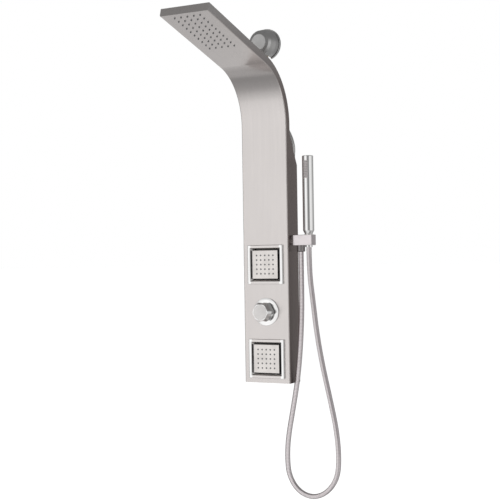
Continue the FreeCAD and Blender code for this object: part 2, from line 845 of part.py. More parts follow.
# ---- the diverter -------------------------------------------------------------------
def make_diverter():
    z = level(diverter_height)
    axis = V(0, 1, 0)
    low, high = z - diverter_half_height, z + diverter_half_height

    block = box(-diverter_half_width, diverter_half_width, depth(diverter_front), depth(diverter_back), low, high)
    upright = [e for e in block.Edges if abs(e.tangentAt(e.FirstParameter).y) > 0.99]
    block = block.makeFillet(6.0, upright)
    shoulder = rod(V(0, depth(sheet), z), axis, collar_shoulder_radius, diverter_front - sheet + 1.0)
    collar = rod(V(0, depth(collar_front), z), axis, collar_radius, diverter_front - collar_front + 1.0)
    half = inlet_block_half
    arm = box(diverter_half_width - 6.0, inlet_x + half, inlet_y - half, inlet_y + half - 1.0,
              level(inlet_block_low), level(inlet_block_high))
    nipple = rod(V(inlet_x, inlet_y, level(inlet_block_high - 1.0)), V(0, 0, 1), inlet_thread_radius,
                 inlet_thread_top - inlet_block_high + 1.0)
    pieces = [block, shoulder, collar, arm, nipple]
    ports = []
    top_barbs = [(-side_pipe_offset, side_pipe_depth), (side_pipe_offset, side_pipe_depth), (0.0, jet_pipe_depth)]
    for x, far in top_barbs:
        pieces.append(rod(V(x, depth(far), high - 1.0), V(0, 0, 1), barb_radius, barb_length + 1.0))
        ports.append(rod(V(x, depth(far), high - 12.0), V(0, 0, 1), barb_bore, barb_length + 14.0))
    pieces.append(rod(V(0, depth(jet_pipe_depth), low + 1.0), V(0, 0, -1), barb_radius, barb_length + 1.0))
    ports.append(rod(V(0, depth(jet_pipe_depth), low + 12.0), V(0, 0, -1), barb_bore, barb_length + 14.0))
    body = fuse_all(pieces)
    ports.append(rod(V(0, depth(collar_front - 1.0), z), axis, cartridge_radius + cartridge_gap,
                     valve_floor - collar_front + 1.0))
    passage_y = depth(diverter_back) - inlet_passage - 2.0
    ports.append(rod(V(inlet_x, inlet_y, z), V(0, 0, 1), inlet_bore,
                     level(inlet_thread_top + 1.0) - z))
    ports.append(rod(V(0, passage_y, z), V(1, 0, 0), inlet_passage, inlet_x))
    ports.append(rod(V(0, passage_y, z), V(0, -1, 0), inlet_passage, passage_y - depth(valve_floor - 1.0)))
    save("diverter_body", body.cut(Part.makeCompound(ports)))

    nut_length = -mounting_nut_front
    nut = rod(V(0, depth(mounting_nut_front), z), axis, mounting_nut_radius, nut_length)
    nut = nut.cut(rod(V(0, depth(-10.0), z), axis, collar_radius + thread_gap, 20.0))
    flats = []
    for sign in (-1.0, 1.0):
        edge = sign * (mounting_nut_radius - 1.2)
        x0, x1 = min(edge, edge + sign * 5.0), max(edge, edge + sign * 5.0)
        flats.append(box(x0, x1, depth(-10.0), depth(10.0), z - 30.0, z + 30.0))
    save("mounting_nut", nut.cut(Part.makeCompound(flats)))

    cap_back = mounting_nut_front - 0.1
    plate_back = cap_nut_front + cap_nut_plate
    cap = rod(V(0, depth(cap_nut_front), z), axis, cap_nut_radius, cap_back - cap_nut_front)
    cap = cap.cut(rod(V(0, depth(plate_back), z), axis, collar_radius + thread_gap, 10.0))
    cap = cap.cut(rod(V(0, depth(-20.0), z), axis, spindle_radius + 0.6, 30.0))
    save("cartridge_nut", cap)

    cartridge = rod(V(0, depth(collar_front), z), axis, cartridge_radius, fixed_disc_front - collar_front)
    cavity_front = collar_front + cartridge_front_wall
    cartridge = cartridge.cut(rod(V(0, depth(cavity_front), z), axis, cartridge_radius - cartridge_wall,
                              fixed_disc_front - cavity_front + 1.0))
    front_run = cavity_front - collar_front + 2.0
    cartridge = cartridge.cut(rod(V(0, depth(collar_front - 1.0), z), axis, spindle_radius + spindle_gap, front_run))
    save("diverter_cartridge", cartridge)

    disc = rod(V(0, depth(fixed_disc_front), z), axis, cartridge_radius, valve_floor - fixed_disc_front)
    holes = []
    for index in range(4):
        angle = math.radians(90.0 * index + 45.0)
        spot = V(port_circle * math.cos(angle), depth(10.0), z + port_circle * math.sin(angle))
        holes.append(rod(spot, axis, port_radius, 20.0))
    save("diverter_fixed_disc", disc.cut(Part.makeCompound(holes)))

    moving = rod(V(0, depth(moving_disc_front), z), axis, moving_disc_radius, fixed_disc_front - moving_disc_front)
    moving = moving.cut(rod(V(port_circle, depth(10.0), z), axis, port_radius + 0.6, 20.0))
    save("diverter_moving_disc", moving)

    spindle = rod(V(0, depth(spindle_front), z), axis, spindle_radius, spindle_flange_front - spindle_front + 1.0)
    driver = rod(V(0, depth(spindle_flange_front), z), axis, spindle_flange_radius,
                 moving_disc_front - spindle_flange_front)
    flat = box(-spindle_radius, spindle_radius, depth(spindle_front - 1.0),
               depth(spindle_front + spindle_flat_length), z + spindle_flat, z + spindle_radius + 1.0)
    save("diverter_spindle", spindle.fuse(driver).cut(flat))

    inner = mounting_nut_radius + flange_hole_gap
    gasket_radius = flange_radius - flange_lip - 0.2
    gasket = ring(V(0, depth(-gasket_thickness), z), axis, gasket_radius, inner, gasket_thickness)
    save("flange_gasket", gasket)

    profile = [
        (inner, depth(-gasket_thickness)),
        (flange_radius - flange_lip, depth(-gasket_thickness)),
        (flange_radius - flange_lip, depth(0.0)),
        (flange_radius, depth(0.0)),
        (flange_radius, depth(-flange_rim + flange_edge)),
        (flange_radius - flange_edge, depth(-flange_rim)),
        (flange_radius - flange_slope, depth(-flange_rise + flange_edge)),
        (flange_radius - 2.0 * flange_slope, depth(-flange_rise)),
        (inner, depth(-flange_rise)),
    ]
    save("knob_flange", turned_about_y(profile, 0.0, z))


def lobed_wire(y, lobe, waist):
    """A closed outline with an arc over each lobe and an arc through each waist."""
    z = level(diverter_height)
    step = 2.0 * math.pi / knob_lobes

    def at(radius, angle):
        return V(radius * math.cos(angle), y, z + radius * math.sin(angle))

    edges = []
    for index in range(knob_lobes):
        centre = math.pi + index * step
        edge = (lobe + waist) / 2.0
        start = at(edge, centre - step / 4.0)
        finish = at(edge, centre + step / 4.0)
        following = at(edge, centre + step * 0.75)
        edges.append(Part.Arc(start, at(lobe, centre), finish).toShape())
        edges.append(Part.Arc(finish, at(waist, centre + step / 2.0), following).toShape())
    return Part.Wire(edges)


def make_knob():
    z = level(diverter_height)
    axis = V(0, 1, 0)
    shoulder = knob_front + knob_shoulder
    lower = Part.makeLoft([
        lobed_wire(depth(knob_back), knob_lobe_radius - knob_taper, knob_waist_radius - knob_taper / 2.0),
        lobed_wire(depth(shoulder), knob_lobe_radius, knob_waist_radius),
    ], True, True)
    upper = Part.makeLoft([
        lobed_wire(depth(shoulder), knob_lobe_radius, knob_waist_radius),
        lobed_wire(depth(knob_front), knob_face_radius + knob_face_lobe, knob_face_radius),
    ], True, True)
    knob = lower.fuse(upper)
    cavity = rod(V(0, depth(knob_back - knob_cavity_depth), z), axis, knob_cavity_radius,
                 knob_cavity_depth + 1.0)
    boss_back = cap_nut_front - knob_boss_gap
    boss = rod(V(0, depth(knob_back - knob_cavity_depth - 1.0), z), axis, knob_boss_radius,
               boss_back - knob_back + knob_cavity_depth + 1.0)
    knob = knob.cut(cavity).fuse(boss)
    cap_seat = rod(V(0, depth(knob_front - 1.0), z), axis, knob_cap_radius + 0.1,
                   knob_cap_thickness - knob_cap_proud + 1.0)
    spindle_well = rod(V(0, depth(spindle_front - 1.0), z), axis, spindle_radius + 0.05,
                       boss_back - spindle_front + 2.0)
    grub_hole = rod(V(0, depth(grub_depth), z - 3.0), V(0, 0, -1), grub_radius + 0.05,
                    knob_lobe_radius)
    knob = knob.cut(Part.makeCompound([cap_seat, spindle_well])).cut(grub_hole)
    save("diverter_knob", knob.removeSplitter())

    grub = rod(V(0, depth(grub_depth), z - spindle_radius - 0.05), V(0, 0, -1), grub_radius, grub_length)
    socket = hexagon_bar(V(0, depth(grub_depth), z - spindle_radius - 0.05 - grub_length), V(0, 0, 1),
                         grub_socket_flats, grub_socket_depth)
    save("knob_grub_screw", grub.cut(socket))

    cap_front = knob_front - knob_cap_proud
    cap = rod(V(0, depth(cap_front), z), axis, knob_cap_radius, knob_cap_thickness)
    rim = [e for e in cap.Edges if abs(e.CenterOfMass.y - depth(cap_front)) < 0.01 and e.Closed]
    save("knob_cap", cap.makeFillet(knob_cap_edge, rim))


# ---- the inner pipes and their clips ------------------------------------------------
def make_pipes():
    valve_top = level(diverter_height + diverter_half_height)
    valve_low = level(diverter_height - diverter_half_height)
    y_side = depth(side_pipe_depth)
    y_jet = depth(jet_pipe_depth)
    up = V(0, 0, 1)
    clips = []

    def clip(spot, direction):
        band = ring(spot, direction, pipe_radius + clip_gap + clip_wall, pipe_radius + clip_gap, clip_width)
        clips.append(band)

    clip_inset = 4.0
    head_start = V(-side_pipe_offset, y_side, valve_top + pipe_root_gap)
    corner_a = V(-side_pipe_offset, y_side, level(neck_pipe_leave))
    corner_b = V(-side_pipe_offset, depth(neck_pipe_depth), level(neck_pipe_join))
    reach = (bend_radius + neck_pipe_depth) * math.tan(bend_angle / 2.0)
    corner_c = V(-side_pipe_offset, depth(neck_pipe_depth), bend_z + reach)
    head_end = head_point(-side_pipe_offset, neck_pipe_depth, chamber_end + pipe_root_gap)
    radii = [neck_pipe_bend, neck_pipe_bend, bend_radius + neck_pipe_depth]
    route = rounded_route([head_start, corner_a, corner_b, corner_c, head_end], radii)
    save("rain_feed_pipe", swept_tube(route, pipe_radius, pipe_bore))
    clip(V(-side_pipe_offset, y_side, valve_top + clip_inset), up)
    along_head = V(0, math.sin(bend_angle), -math.cos(bend_angle))
    clip(head_point(-side_pipe_offset, neck_pipe_depth, chamber_end + clip_inset), along_head)

    wand_start = V(side_pipe_offset, y_side, valve_top + pipe_root_gap)
    wand_top_z = level(outlet_height) - outlet_body_radius - pipe_root_gap
    save("wand_feed_pipe", ring(wand_start, up, pipe_radius, pipe_bore, wand_top_z - wand_start.z))
    clip(V(side_pipe_offset, y_side, valve_top + clip_inset), up)
    clip(V(side_pipe_offset, y_side, wand_top_z - clip_inset - clip_width), up)

    upper_start = valve_top + pipe_root_gap
    upper_end = level(jet_heights["upper"]) - jet_inlet_radius - pipe_root_gap
    save("upper_jet_pipe", ring(V(0, y_jet, upper_start), up, pipe_radius, pipe_bore, upper_end - upper_start))
    clip(V(0, y_jet, valve_top + clip_inset), up)
    clip(V(0, y_jet, upper_end - clip_inset - clip_width), up)

    lower_start = level(jet_heights["lower"]) + jet_inlet_radius + pipe_root_gap
    lower_end = valve_low - pipe_root_gap
    save("lower_jet_pipe", ring(V(0, y_jet, lower_start), up, pipe_radius, pipe_bore, lower_end - lower_start))
    clip(V(0, y_jet, lower_start + clip_inset), up)
    clip(V(0, y_jet, lower_end - clip_inset - clip_width), up)
    save("pipe_clips", Part.makeCompound(clips))


# ---- the supply from the wall -------------------------------------------------------
def make_supply():
    axis = V(0, 1, 0)
    z = level(wall_arm_height)
    x = wall_arm_x
    body = rod(V(x, wall_body_front, z), axis, wall_body_radius, wall_body_shoulder - wall_body_front)
    shank = rod(V(x, wall_body_shoulder - 1.0, z), axis, wall_shank_radius,
                wall_shank_length - wall_body_shoulder + 1.0)
    drop = z - level(wall_outlet_low)
    outlet = rod(V(x, wall_outlet_y, z), V(0, 0, -1), wall_shank_radius, drop)
    elbow = fuse_all([body, shank, outlet])
    run = wall_shank_length - wall_outlet_y + 1.0
    elbow = elbow.cut(rod(V(x, wall_outlet_y, z), axis, wall_outlet_bore, run))
    elbow = elbow.cut(rod(V(x, wall_outlet_y, z), V(0, 0, -1), wall_outlet_bore, drop + 1.0))
    save("wall_elbow", elbow)

    front = -bell_depth
    outer = [
        (0.0, front),
        (bell_front_radius - bell_corner, front),
        (bell_front_radius - bell_corner * 0.3, front + bell_corner * 0.3),
        (bell_front_radius + bell_flare, front + bell_corner),
        (bell_shoulder_radius - bell_flare, -bell_groove_depth - bell_skirt),
        (bell_shoulder_radius, -bell_groove_depth),
        (bell_groove_radius, -bell_groove_depth),
        (bell_groove_radius, -bell_ring_depth),
        (bell_ring_radius - 1.0, -bell_ring_depth),
        (bell_ring_radius, -bell_ring_depth + 1.0),
        (bell_ring_radius, 0.0),
        (0.0, 0.0),
    ]
    inner = [
        (0.0, front + bell_wall),
        (bell_front_radius - bell_corner, front + bell_wall),
        (bell_front_radius - bell_corner * 0.3 - bell_wall, front + bell_corner * 0.3 + bell_wall),
        (bell_front_radius + bell_flare - bell_wall, front + bell_corner + bell_wall),
        (bell_groove_radius - bell_wall - 1.0, -bell_groove_depth - bell_skirt),
        (bell_groove_radius - bell_wall, 1.0),
        (0.0, 1.0),
    ]
    bell = turned_about_y(outer, x, z).cut(turned_about_y(inner, x, z))
    boss_radius = wall_body_radius + 0.1
    boss = ring(V(x, front + bell_wall / 2.0, z), axis, boss_radius + bell_boss_wall, boss_radius, bell_boss_length)
    bell = bell.fuse(boss)
    gap = upper_nut_flats / math.sqrt(3.0) + bell_slot_gap
    slot = rod(V(x, wall_outlet_y, z), V(0, 0, -1), gap, bell_ring_radius + 5.0)
    neck_slot = box(x - gap, x + gap, wall_outlet_y, 5.0, z - bell_ring_radius - 5.0, z - wall_body_radius)
    save("wall_flange", bell.cut(slot).cut(neck_slot))

    def nut(name, nx, ny, flats, low, high, thread, thread_end, hose_end):
        """A hose nut: threaded on one side, closed round the hose's end on the other."""
        bar = hexagon_bar(V(nx, ny, level(low)), V(0, 0, 1), flats, high - low, 30.0)
        cut = rod(V(nx, ny, level(min(thread_end, hose_end))), V(0, 0, 1), thread + thread_gap,
                  abs(thread_end - hose_end))
        through = rod(V(nx, ny, level(low - 1.0)), V(0, 0, 1), supply_hose_bore, high - low + 2.0)
        save(name, bar.cut(cut).cut(through))

    nut("supply_upper_nut", x, wall_outlet_y, upper_nut_flats, upper_nut_low, upper_nut_high,
        wall_shank_radius, upper_nut_high, wall_outlet_low - washer_thickness)
    nut("supply_lower_nut", inlet_x, inlet_y, lower_nut_flats, lower_nut_low, lower_nut_high,
        inlet_thread_radius, inlet_thread_top + washer_thickness, lower_nut_low)
    upper_washer = ring(V(x, wall_outlet_y, level(wall_outlet_low - washer_thickness)), V(0, 0, 1),
                        wall_shank_radius - 0.5, supply_hose_bore, washer_thickness)
    lower_washer = ring(V(inlet_x, inlet_y, level(inlet_thread_top)), V(0, 0, 1),
                        inlet_thread_radius - 0.5, supply_hose_bore, washer_thickness)
    save("supply_washers", Part.makeCompound([upper_washer, lower_washer]))

    points = [V(px, py, level(ph)) for px, py, ph in supply_route]
    radii = cord_radii(points)
    print("supply hose radii", [round(radius) for radius in radii])
    route = rounded_route(points, radii)
    hose = swept_tube(route, supply_hose_radius, supply_hose_bore)
    section = math.pi * (supply_hose_radius ** 2 - supply_hose_bore ** 2)
    print("supply hose length", round(route.Length, 1), "volume share", round(hose.Volume / section / route.Length, 4))
    save("supply_hose", hose)


# ---- the hand shower's outlet, holder and hose --------------------------------------
def make_outlet():
    z = level(outlet_height)
    axis = V(1, 0, 0)
    hex_x = inner_half - outlet_hex_thickness
    tube = rod(V(hex_x, outlet_y, z), axis, outlet_tube_radius, outlet_tube_end - hex_x)
    flange = hexagon_bar(V(hex_x, outlet_y, z), axis, outlet_hex_flats, outlet_hex_thickness)
    arm = rod(V(side_pipe_offset, outlet_y, z), axis, outlet_body_radius, hex_x - side_pipe_offset + 1.0)
    knuckle = Part.makeSphere(outlet_body_radius, V(side_pipe_offset, outlet_y, z))
    barb = rod(V(side_pipe_offset, outlet_y, z), V(0, 0, -1), barb_radius, outlet_body_radius + barb_length)
    elbow = fuse_all([tube, flange, arm, knuckle, barb])
    elbow = elbow.cut(rod(V(side_pipe_offset, outlet_y, z), axis, outlet_tube_bore,
                          outlet_tube_end - side_pipe_offset + 1.0))
    elbow = elbow.cut(rod(V(side_pipe_offset, outlet_y, z), V(0, 0, -1), barb_bore,
                          outlet_body_radius + barb_length + 1.0))
    save("outlet_elbow", elbow)

    spacer = ring(V(half_width, outlet_y, z), axis, spacer_radius, outlet_tube_radius + thread_gap,
                  block_left - half_width)
    save("outlet_spacer", spacer)

    half = block_depth / 2.0
    block = box(block_left, block_right, outlet_y - half, outlet_y + half, level(block_low), level(block_high))
    block = block.makeFillet(block_edge, block.Edges)
    nipple = rod(V(hose_outlet_x, outlet_y, level(block_low + 2.0)), V(0, 0, -1), hose_outlet_thread,
                 hose_outlet_thread_length + 2.0)
    block = block.fuse(nipple)
    cuts = [rod(V(block_left - 1.0, outlet_y, z), axis, outlet_tube_radius + thread_gap,
                outlet_tube_end - block_left + 1.5)]
    drilling = hose_outlet_x + outlet_tube_bore + 1.0 - outlet_tube_end
    cuts.append(rod(V(outlet_tube_end - 1.0, outlet_y, z), axis, outlet_tube_bore, drilling + 1.0))
    cuts.append(rod(V(hose_outlet_x, outlet_y, z), V(0, 0, -1), outlet_drop_bore,
                    outlet_height - block_low + hose_outlet_thread_length + 1.0))
    cuts.append(rod(V(wand_x, outlet_y, level(block_low - 1.0)), V(0, 0, 1), wand_bore_radius,
                    block_high - block_low + 2.0))
    save("holder_block", block.cut(Part.makeCompound(cuts)))

    span = wand_nut_top - wand_nut_low
    slope = (cone_top_radius - cone_bottom_radius) / span

    def cone_radius(height):
        return cone_bottom_radius + slope * (height - wand_nut_low)

    sleeve_top = block_high + insert_collar_height
    profile = [
        (cone_radius(block_low) + cone_gap, level(block_low)),
        (wand_bore_radius - insert_gap, level(block_low)),
        (wand_bore_radius - insert_gap, level(block_high)),
        (insert_collar_radius, level(block_high)),
        (insert_collar_radius, level(sleeve_top)),
        (cone_radius(sleeve_top) + cone_gap, level(sleeve_top)),
    ]
    save("holder_insert", turned_about_z(profile, wand_x, outlet_y))

    nut_profile = [
        (hose_bore, level(wand_nut_low)),
        (cone_bottom_radius, level(wand_nut_low)),
        (cone_top_radius, level(wand_nut_top)),
        (wand_thread_radius + spindle_gap, level(wand_nut_top)),
        (wand_thread_radius + spindle_gap, level(wand_nut_top - wand_thread_length - 1.0)),
        (hose_bore, level(wand_nut_top - wand_thread_length - 1.0)),
    ]
    save("hose_wand_nut", turned_about_z(nut_profile, wand_x, outlet_y))

    thread_low = block_low - hose_outlet_thread_length
    collar_profile = [
        (hose_bore, level(outlet_nut_low)),
        (outlet_nut_radius - outlet_nut_edge, level(outlet_nut_low)),
        (outlet_nut_radius, level(outlet_nut_low + outlet_nut_edge)),
        (outlet_nut_radius, level(block_low - nut_gap)),
        (hose_outlet_thread + thread_gap, level(block_low - nut_gap)),
        (hose_outlet_thread + thread_gap, level(thread_low - washer_thickness)),
        (hose_bore, level(thread_low - washer_thickness)),
    ]
    save("hose_outlet_nut", turned_about_z(collar_profile, hose_outlet_x, outlet_y))
    washer = ring(V(hose_outlet_x, outlet_y, level(thread_low - washer_thickness)), V(0, 0, 1),
                  hose_outlet_thread - 0.2, hose_bore, washer_thickness)
    save("hose_outlet_washer", washer)


def make_wand():
    x, y = wand_x, outlet_y
    bottom = wand_nut_top
    taper_top = bottom + wand_taper_height
    profile = [
        (wand_thread_radius - 2.0, level(bottom - wand_thread_length)),
        (wand_thread_radius, level(bottom - wand_thread_length)),
        (wand_thread_radius, level(bottom)),
        (wand_taper_low_radius, level(bottom)),
        (wand_radius, level(taper_top)),
        (wand_radius, level(wand_top - wand_edge)),
        (wand_radius - wand_edge * 0.3, level(wand_top - wand_edge * 0.3)),
        (wand_radius - wand_edge, level(wand_top)),
        (0.0, level(wand_top)),
        (0.0, level(wand_top - 3.0)),
        (wand_radius - wand_wall, level(wand_top - 3.0)),
        (wand_radius - wand_wall, level(taper_top + 2.0)),
        (wand_thread_radius - 2.0, level(bottom + 2.0)),
    ]
    body = turned_about_z(profile, x, y)
    half = spray_half_width
    window = box(x - half, x + half, y - wand_radius - 1.0, y, level(spray_low), level(spray_high))
    save("wand_body", body.cut(window))

    outer = rod(V(x, y, level(spray_low + spray_gap)), V(0, 0, 1), wand_radius - 0.3,
                spray_high - spray_low - 2.0 * spray_gap)
    inner = rod(V(x, y, level(spray_low - 1.0)), V(0, 0, 1), wand_radius - wand_wall,
                spray_high - spray_low + 2.0)
    plate = outer.cut(inner)
    gap = half - spray_gap
    plate = plate.common(box(x - gap, x + gap, y - wand_radius - 1.0, y, level(spray_low), level(spray_high)))
    holes = []
    tips = []
    pitch = (spray_high - spray_low) / (spray_rows + 0.6)
    for column in range(spray_columns):
        for row in range(spray_rows):
            px = x + (column - (spray_columns - 1) / 2.0) * spray_pitch_x
            pz = level(spray_low + pitch * (row + 0.8))
            front = y - wand_radius - spray_tip_proud
            holes.append(rod(V(px, front, pz), V(0, 1, 0), spray_tip_radius + 0.05, 8.0))
            tips.append(rod(V(px, front, pz), V(0, 1, 0), spray_tip_radius, 3.6))
    save("wand_spray_plate", plate.cut(Part.makeCompound(holes)))
    save("wand_spray_tips", Part.makeCompound(tips))


def circle_at(point, direction, radius):
    """A circle square to the direction, always started from the same side."""
    side = V(0, 1, 0).cross(direction).normalize()
    up = direction.cross(side)
    turn = FreeCAD.Rotation(side, up, direction, "ZXY")
    ring_wire = Part.Wire(Part.makeCircle(radius))
    ring_wire.Placement = FreeCAD.Placement(point, turn)
    return ring_wire


def place_on(route, length):
    """The point and direction of a route at a length from its start."""
    for edge in route.Edges:
        if length <= edge.Length:
            parameter = edge.getParameterByLength(length)
            return edge.valueAt(parameter), edge.tangentAt(parameter)
        length -= edge.Length
    last = route.Edges[-1]
    return last.valueAt(last.LastParameter), last.tangentAt(last.LastParameter)


def make_hose():
    points = [V(px, py, level(ph)) for px, py, ph in hose_route]
    radii = cord_radii(points)
    print("shower hose radii", [round(radius) for radius in radii])
    route = rounded_route(points, radii)
    length = route.Length
    plain = 2.0 * hose_radius
    pitch = (length - 2.0 * plain) / hose_ribs
    stations = [(0.0, hose_root_radius)]
    for rib in range(hose_ribs):
        start = plain + rib * pitch
        stations.append((start, hose_root_radius))
        stations.append((start + pitch * 0.25, hose_radius))
        stations.append((start + pitch * 0.70, hose_radius))
        stations.append((start + pitch * 0.95, hose_root_radius))
    stations.append((length, hose_root_radius))
    wires = []
    for at, radius in stations:
        point, direction = place_on(route, at)
        wires.append(circle_at(point, direction, radius))
    ribbed = Part.makeLoft(wires, True, True)
    bore = route.makePipeShell([circle_at(points[0], V(0, 0, -1), hose_bore)], True, False)
    section = math.pi * hose_bore ** 2
    print("shower hose length", round(length, 1), "bore share", round(bore.Volume / section / length, 4))
    hose = ribbed.cut(bore)
    print("shower hose volume", round(hose.Volume), "valid", hose.isValid())
    save("shower_hose", hose)


# ---- how the column hangs on the wall -----------------------------------------------
def make_brackets():
    plate = box(-bracket_half_width, bracket_half_width, -bracket_sheet, 0.0,
                -bracket_half_height, bracket_half_height)
    tab = box(-bracket_half_width, bracket_half_width, -bracket_tab_depth, 0.0,
              bracket_half_height - bracket_sheet, bracket_half_height)
    lip = box(-bracket_half_width, bracket_half_width, -bracket_tab_depth, bracket_sheet - bracket_tab_depth,
              bracket_half_height - bracket_sheet, bracket_half_height + bracket_lip_height)
    holes = []
    for sign in (-0.5, 0.5):
        foot = V(sign * bracket_hole_spacing, -5.0, 0)
        holes.append(rod(foot, V(0, 1, 0), bracket_hole_radius, 10.0))
    save("upper_wall_bracket", fuse_all([plate, tab, lip]).cut(Part.makeCompound(holes)))

    lip_back = bracket_sheet - bracket_tab_depth
    lip_top = bracket_half_height + bracket_lip_height
    bar_front = hanger_y - hanger_sheet
    bar_low = lip_top - 2.0 * hanger_half_height
    bar_high = lip_top + hook_gap + hanger_sheet
    bar = box(-inner_half, inner_half, bar_front, hanger_y, bar_low, bar_high)
    pieces = [bar]
    for sign in (-1.0, 1.0):
        outer = sign * inner_half
        inner = outer - sign * hanger_sheet
        x0, x1 = min(outer, inner), max(outer, inner)
        pieces.append(box(x0, x1, bar_front - hanger_ear, bar_front + 0.5, bar_low, bar_high))
    hook_back = lip_back + hook_gap + hanger_sheet
    pieces.append(box(-hook_half_width, hook_half_width, hanger_y - 0.5, hook_back, lip_top + hook_gap, bar_high))
    pieces.append(box(-hook_half_width, hook_half_width, hook_back - hanger_sheet, hook_back,
                      lip_top - 6.0, bar_high))
    save("hanger_bar", fuse_all(pieces))

    floor = level(sheet)
    back = box(-foot_half_width, foot_half_width, -bracket_sheet, 0.0, floor, level(foot_height))
    leg = box(-foot_half_width, foot_half_width, -foot_reach, 0.0, floor, floor + bracket_sheet)
    holes = [rod(V(0, foot_screw_y, floor - 1.0), V(0, 0, 1), foot_screw_radius + 0.05, 5.0)]
    for sign in (-0.5, 0.5):
        foot = V(sign * foot_hole_spacing, -5.0, level(foot_hole_height))
        holes.append(rod(foot, V(0, 1, 0), bracket_hole_radius, 10.0))
    save("lower_wall_bracket", back.fuse(leg).cut(Part.makeCompound(holes)))

    shank = rod(V(0, foot_screw_y, level(0.0)), V(0, 0, 1), foot_screw_radius, foot_screw_length)
    head = rod(V(0, foot_screw_y, level(0.0)), V(0, 0, -1), foot_screw_head, foot_screw_head_height)
    slot = box(-5.0, 5.0, foot_screw_y - screw_slot_half, foot_screw_y + screw_slot_half,
               level(-foot_screw_head_height - 1.0), level(-foot_screw_head_height + screw_slot_depth))
    save("lower_bracket_screw", shank.fuse(head).cut(slot))


make_front_shell()
make_back_cover()
stud_nuts = make_rain_head()
stud_nuts += make_jet("upper", jet_heights["upper"], -1.0)
stud_nuts += make_jet("lower", jet_heights["lower"], 1.0)
save("stud_nuts", Part.makeCompound(stud_nuts))
make_diverter()
make_knob()
make_pipes()
make_supply()
make_outlet()
make_wand()
make_hose()
make_brackets()
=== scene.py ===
"""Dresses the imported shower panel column: studio, finishes, hoses and jet frames."""
import math

import bmesh
import bpy
from mathutils import Matrix, Vector


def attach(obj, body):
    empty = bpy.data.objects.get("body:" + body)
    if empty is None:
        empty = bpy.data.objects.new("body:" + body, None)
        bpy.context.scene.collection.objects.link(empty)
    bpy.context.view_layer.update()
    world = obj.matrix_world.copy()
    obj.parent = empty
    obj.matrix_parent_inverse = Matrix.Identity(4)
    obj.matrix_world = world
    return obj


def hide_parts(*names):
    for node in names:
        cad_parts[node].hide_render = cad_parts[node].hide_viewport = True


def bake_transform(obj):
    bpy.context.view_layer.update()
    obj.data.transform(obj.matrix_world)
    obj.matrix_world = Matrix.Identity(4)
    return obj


bl_info = {
    "name": "Shower panel column",
    "version": (1, 0, 0),
    "blender": (4, 5, 0),
    "location": "3D View > Sidebar > Shower column",
    "description": "Hoses, fittings and finishes for a wall-hung shower panel with a rain head",
    "category": "Object",
}

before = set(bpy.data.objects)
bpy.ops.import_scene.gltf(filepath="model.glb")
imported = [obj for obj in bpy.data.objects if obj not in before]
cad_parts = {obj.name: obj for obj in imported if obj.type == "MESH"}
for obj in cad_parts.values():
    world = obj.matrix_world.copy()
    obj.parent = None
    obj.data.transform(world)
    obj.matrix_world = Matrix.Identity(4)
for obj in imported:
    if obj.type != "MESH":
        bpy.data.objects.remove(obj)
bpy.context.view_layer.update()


# ---- the hoses: control points of their lines, in metres -------------------------------
HAND_ROUTE = [
    (0.0970, -0.0330, -0.2030),
    (0.0970, -0.0330, -0.2740),
    (0.0975, -0.0345, -0.3650),
    (0.0935, -0.0378, -0.4660),
    (0.0845, -0.0408, -0.5620),
    (0.0685, -0.0426, -0.6500),
    (0.0520, -0.0432, -0.7320),
    (0.0485, -0.0435, -0.7890),
    (0.0530, -0.0439, -0.8390),
    (0.0810, -0.0442, -0.8810),
    (0.1255, -0.0444, -0.8970),
    (0.1700, -0.0439, -0.8810),
    (0.2030, -0.0432, -0.8380),
    (0.2090, -0.0425, -0.7800),
    (0.2020, -0.0415, -0.7010),
    (0.1820, -0.0401, -0.6120),
    (0.1605, -0.0384, -0.5230),
    (0.1435, -0.0366, -0.4320),
    (0.1325, -0.0348, -0.3410),
    (0.1220, -0.0330, -0.2620),
    (0.1220, -0.0330, -0.1900),
]
SUPPLY_ROUTE = [
    (-0.0190, -0.0230, 0.3610),
    (-0.0190, -0.0230, 0.3140),
    (-0.0070, -0.0210, 0.2600),
    (0.0170, -0.0170, 0.2050),
    (0.0450, -0.0125, 0.1560),
    (0.0655, -0.0092, 0.1080),
    (0.0633, -0.0096, 0.0660),
    (0.0600, -0.0115, 0.0060),
    (0.0570, -0.0140, -0.0660),
    (0.0552, -0.0160, -0.1460),
    (0.0545, -0.0180, -0.2460),
    (0.0545, -0.0180, -0.3290),
]
LINE_RESOLUTION = 48
SHORTEST_RUN = 1e-9

# The wound strip: rings and sides of its tube, and its dip towards the seam between two turns.
# The dip starts at STRIP_FLAT of a turn from the strip's middle, is STRIP_SEAM of a turn wide
# and STRIP_DIP of the radius deep; the groove is the part of it darkened as painted shade.
RINGS_PER_TURN = 5
HAND_SIDES = 14
STRIP_FLAT, STRIP_SEAM = 0.28, 0.22
STRIP_DIP = 0.085
STRIP_GROOVE = (0.34, 0.5)

# The braid: rings and sides of its tube, crossings per metre, and the ferrules at its ends.
SUPPLY_RINGS = 320
SUPPLY_SIDES = 20
BRAID_PER_METRE = 320.0
BRAID_WIRES_ROUND = 12.0
BRAID_BAND = (0.40, 0.46)
FERRULE_LENGTH, FERRULE_EDGE = 0.016, 0.0015
BRAID_SHARE, FERRULE_RISE = 0.94, 0.06

# ---- the jets' frames, in metres -------------------------------------------------------
JETS = (("upper", -0.238), ("lower", -0.507))
PANEL_FRONT = -0.066
FRAME_HEIGHT = 0.006
CORNER_STEPS = 4
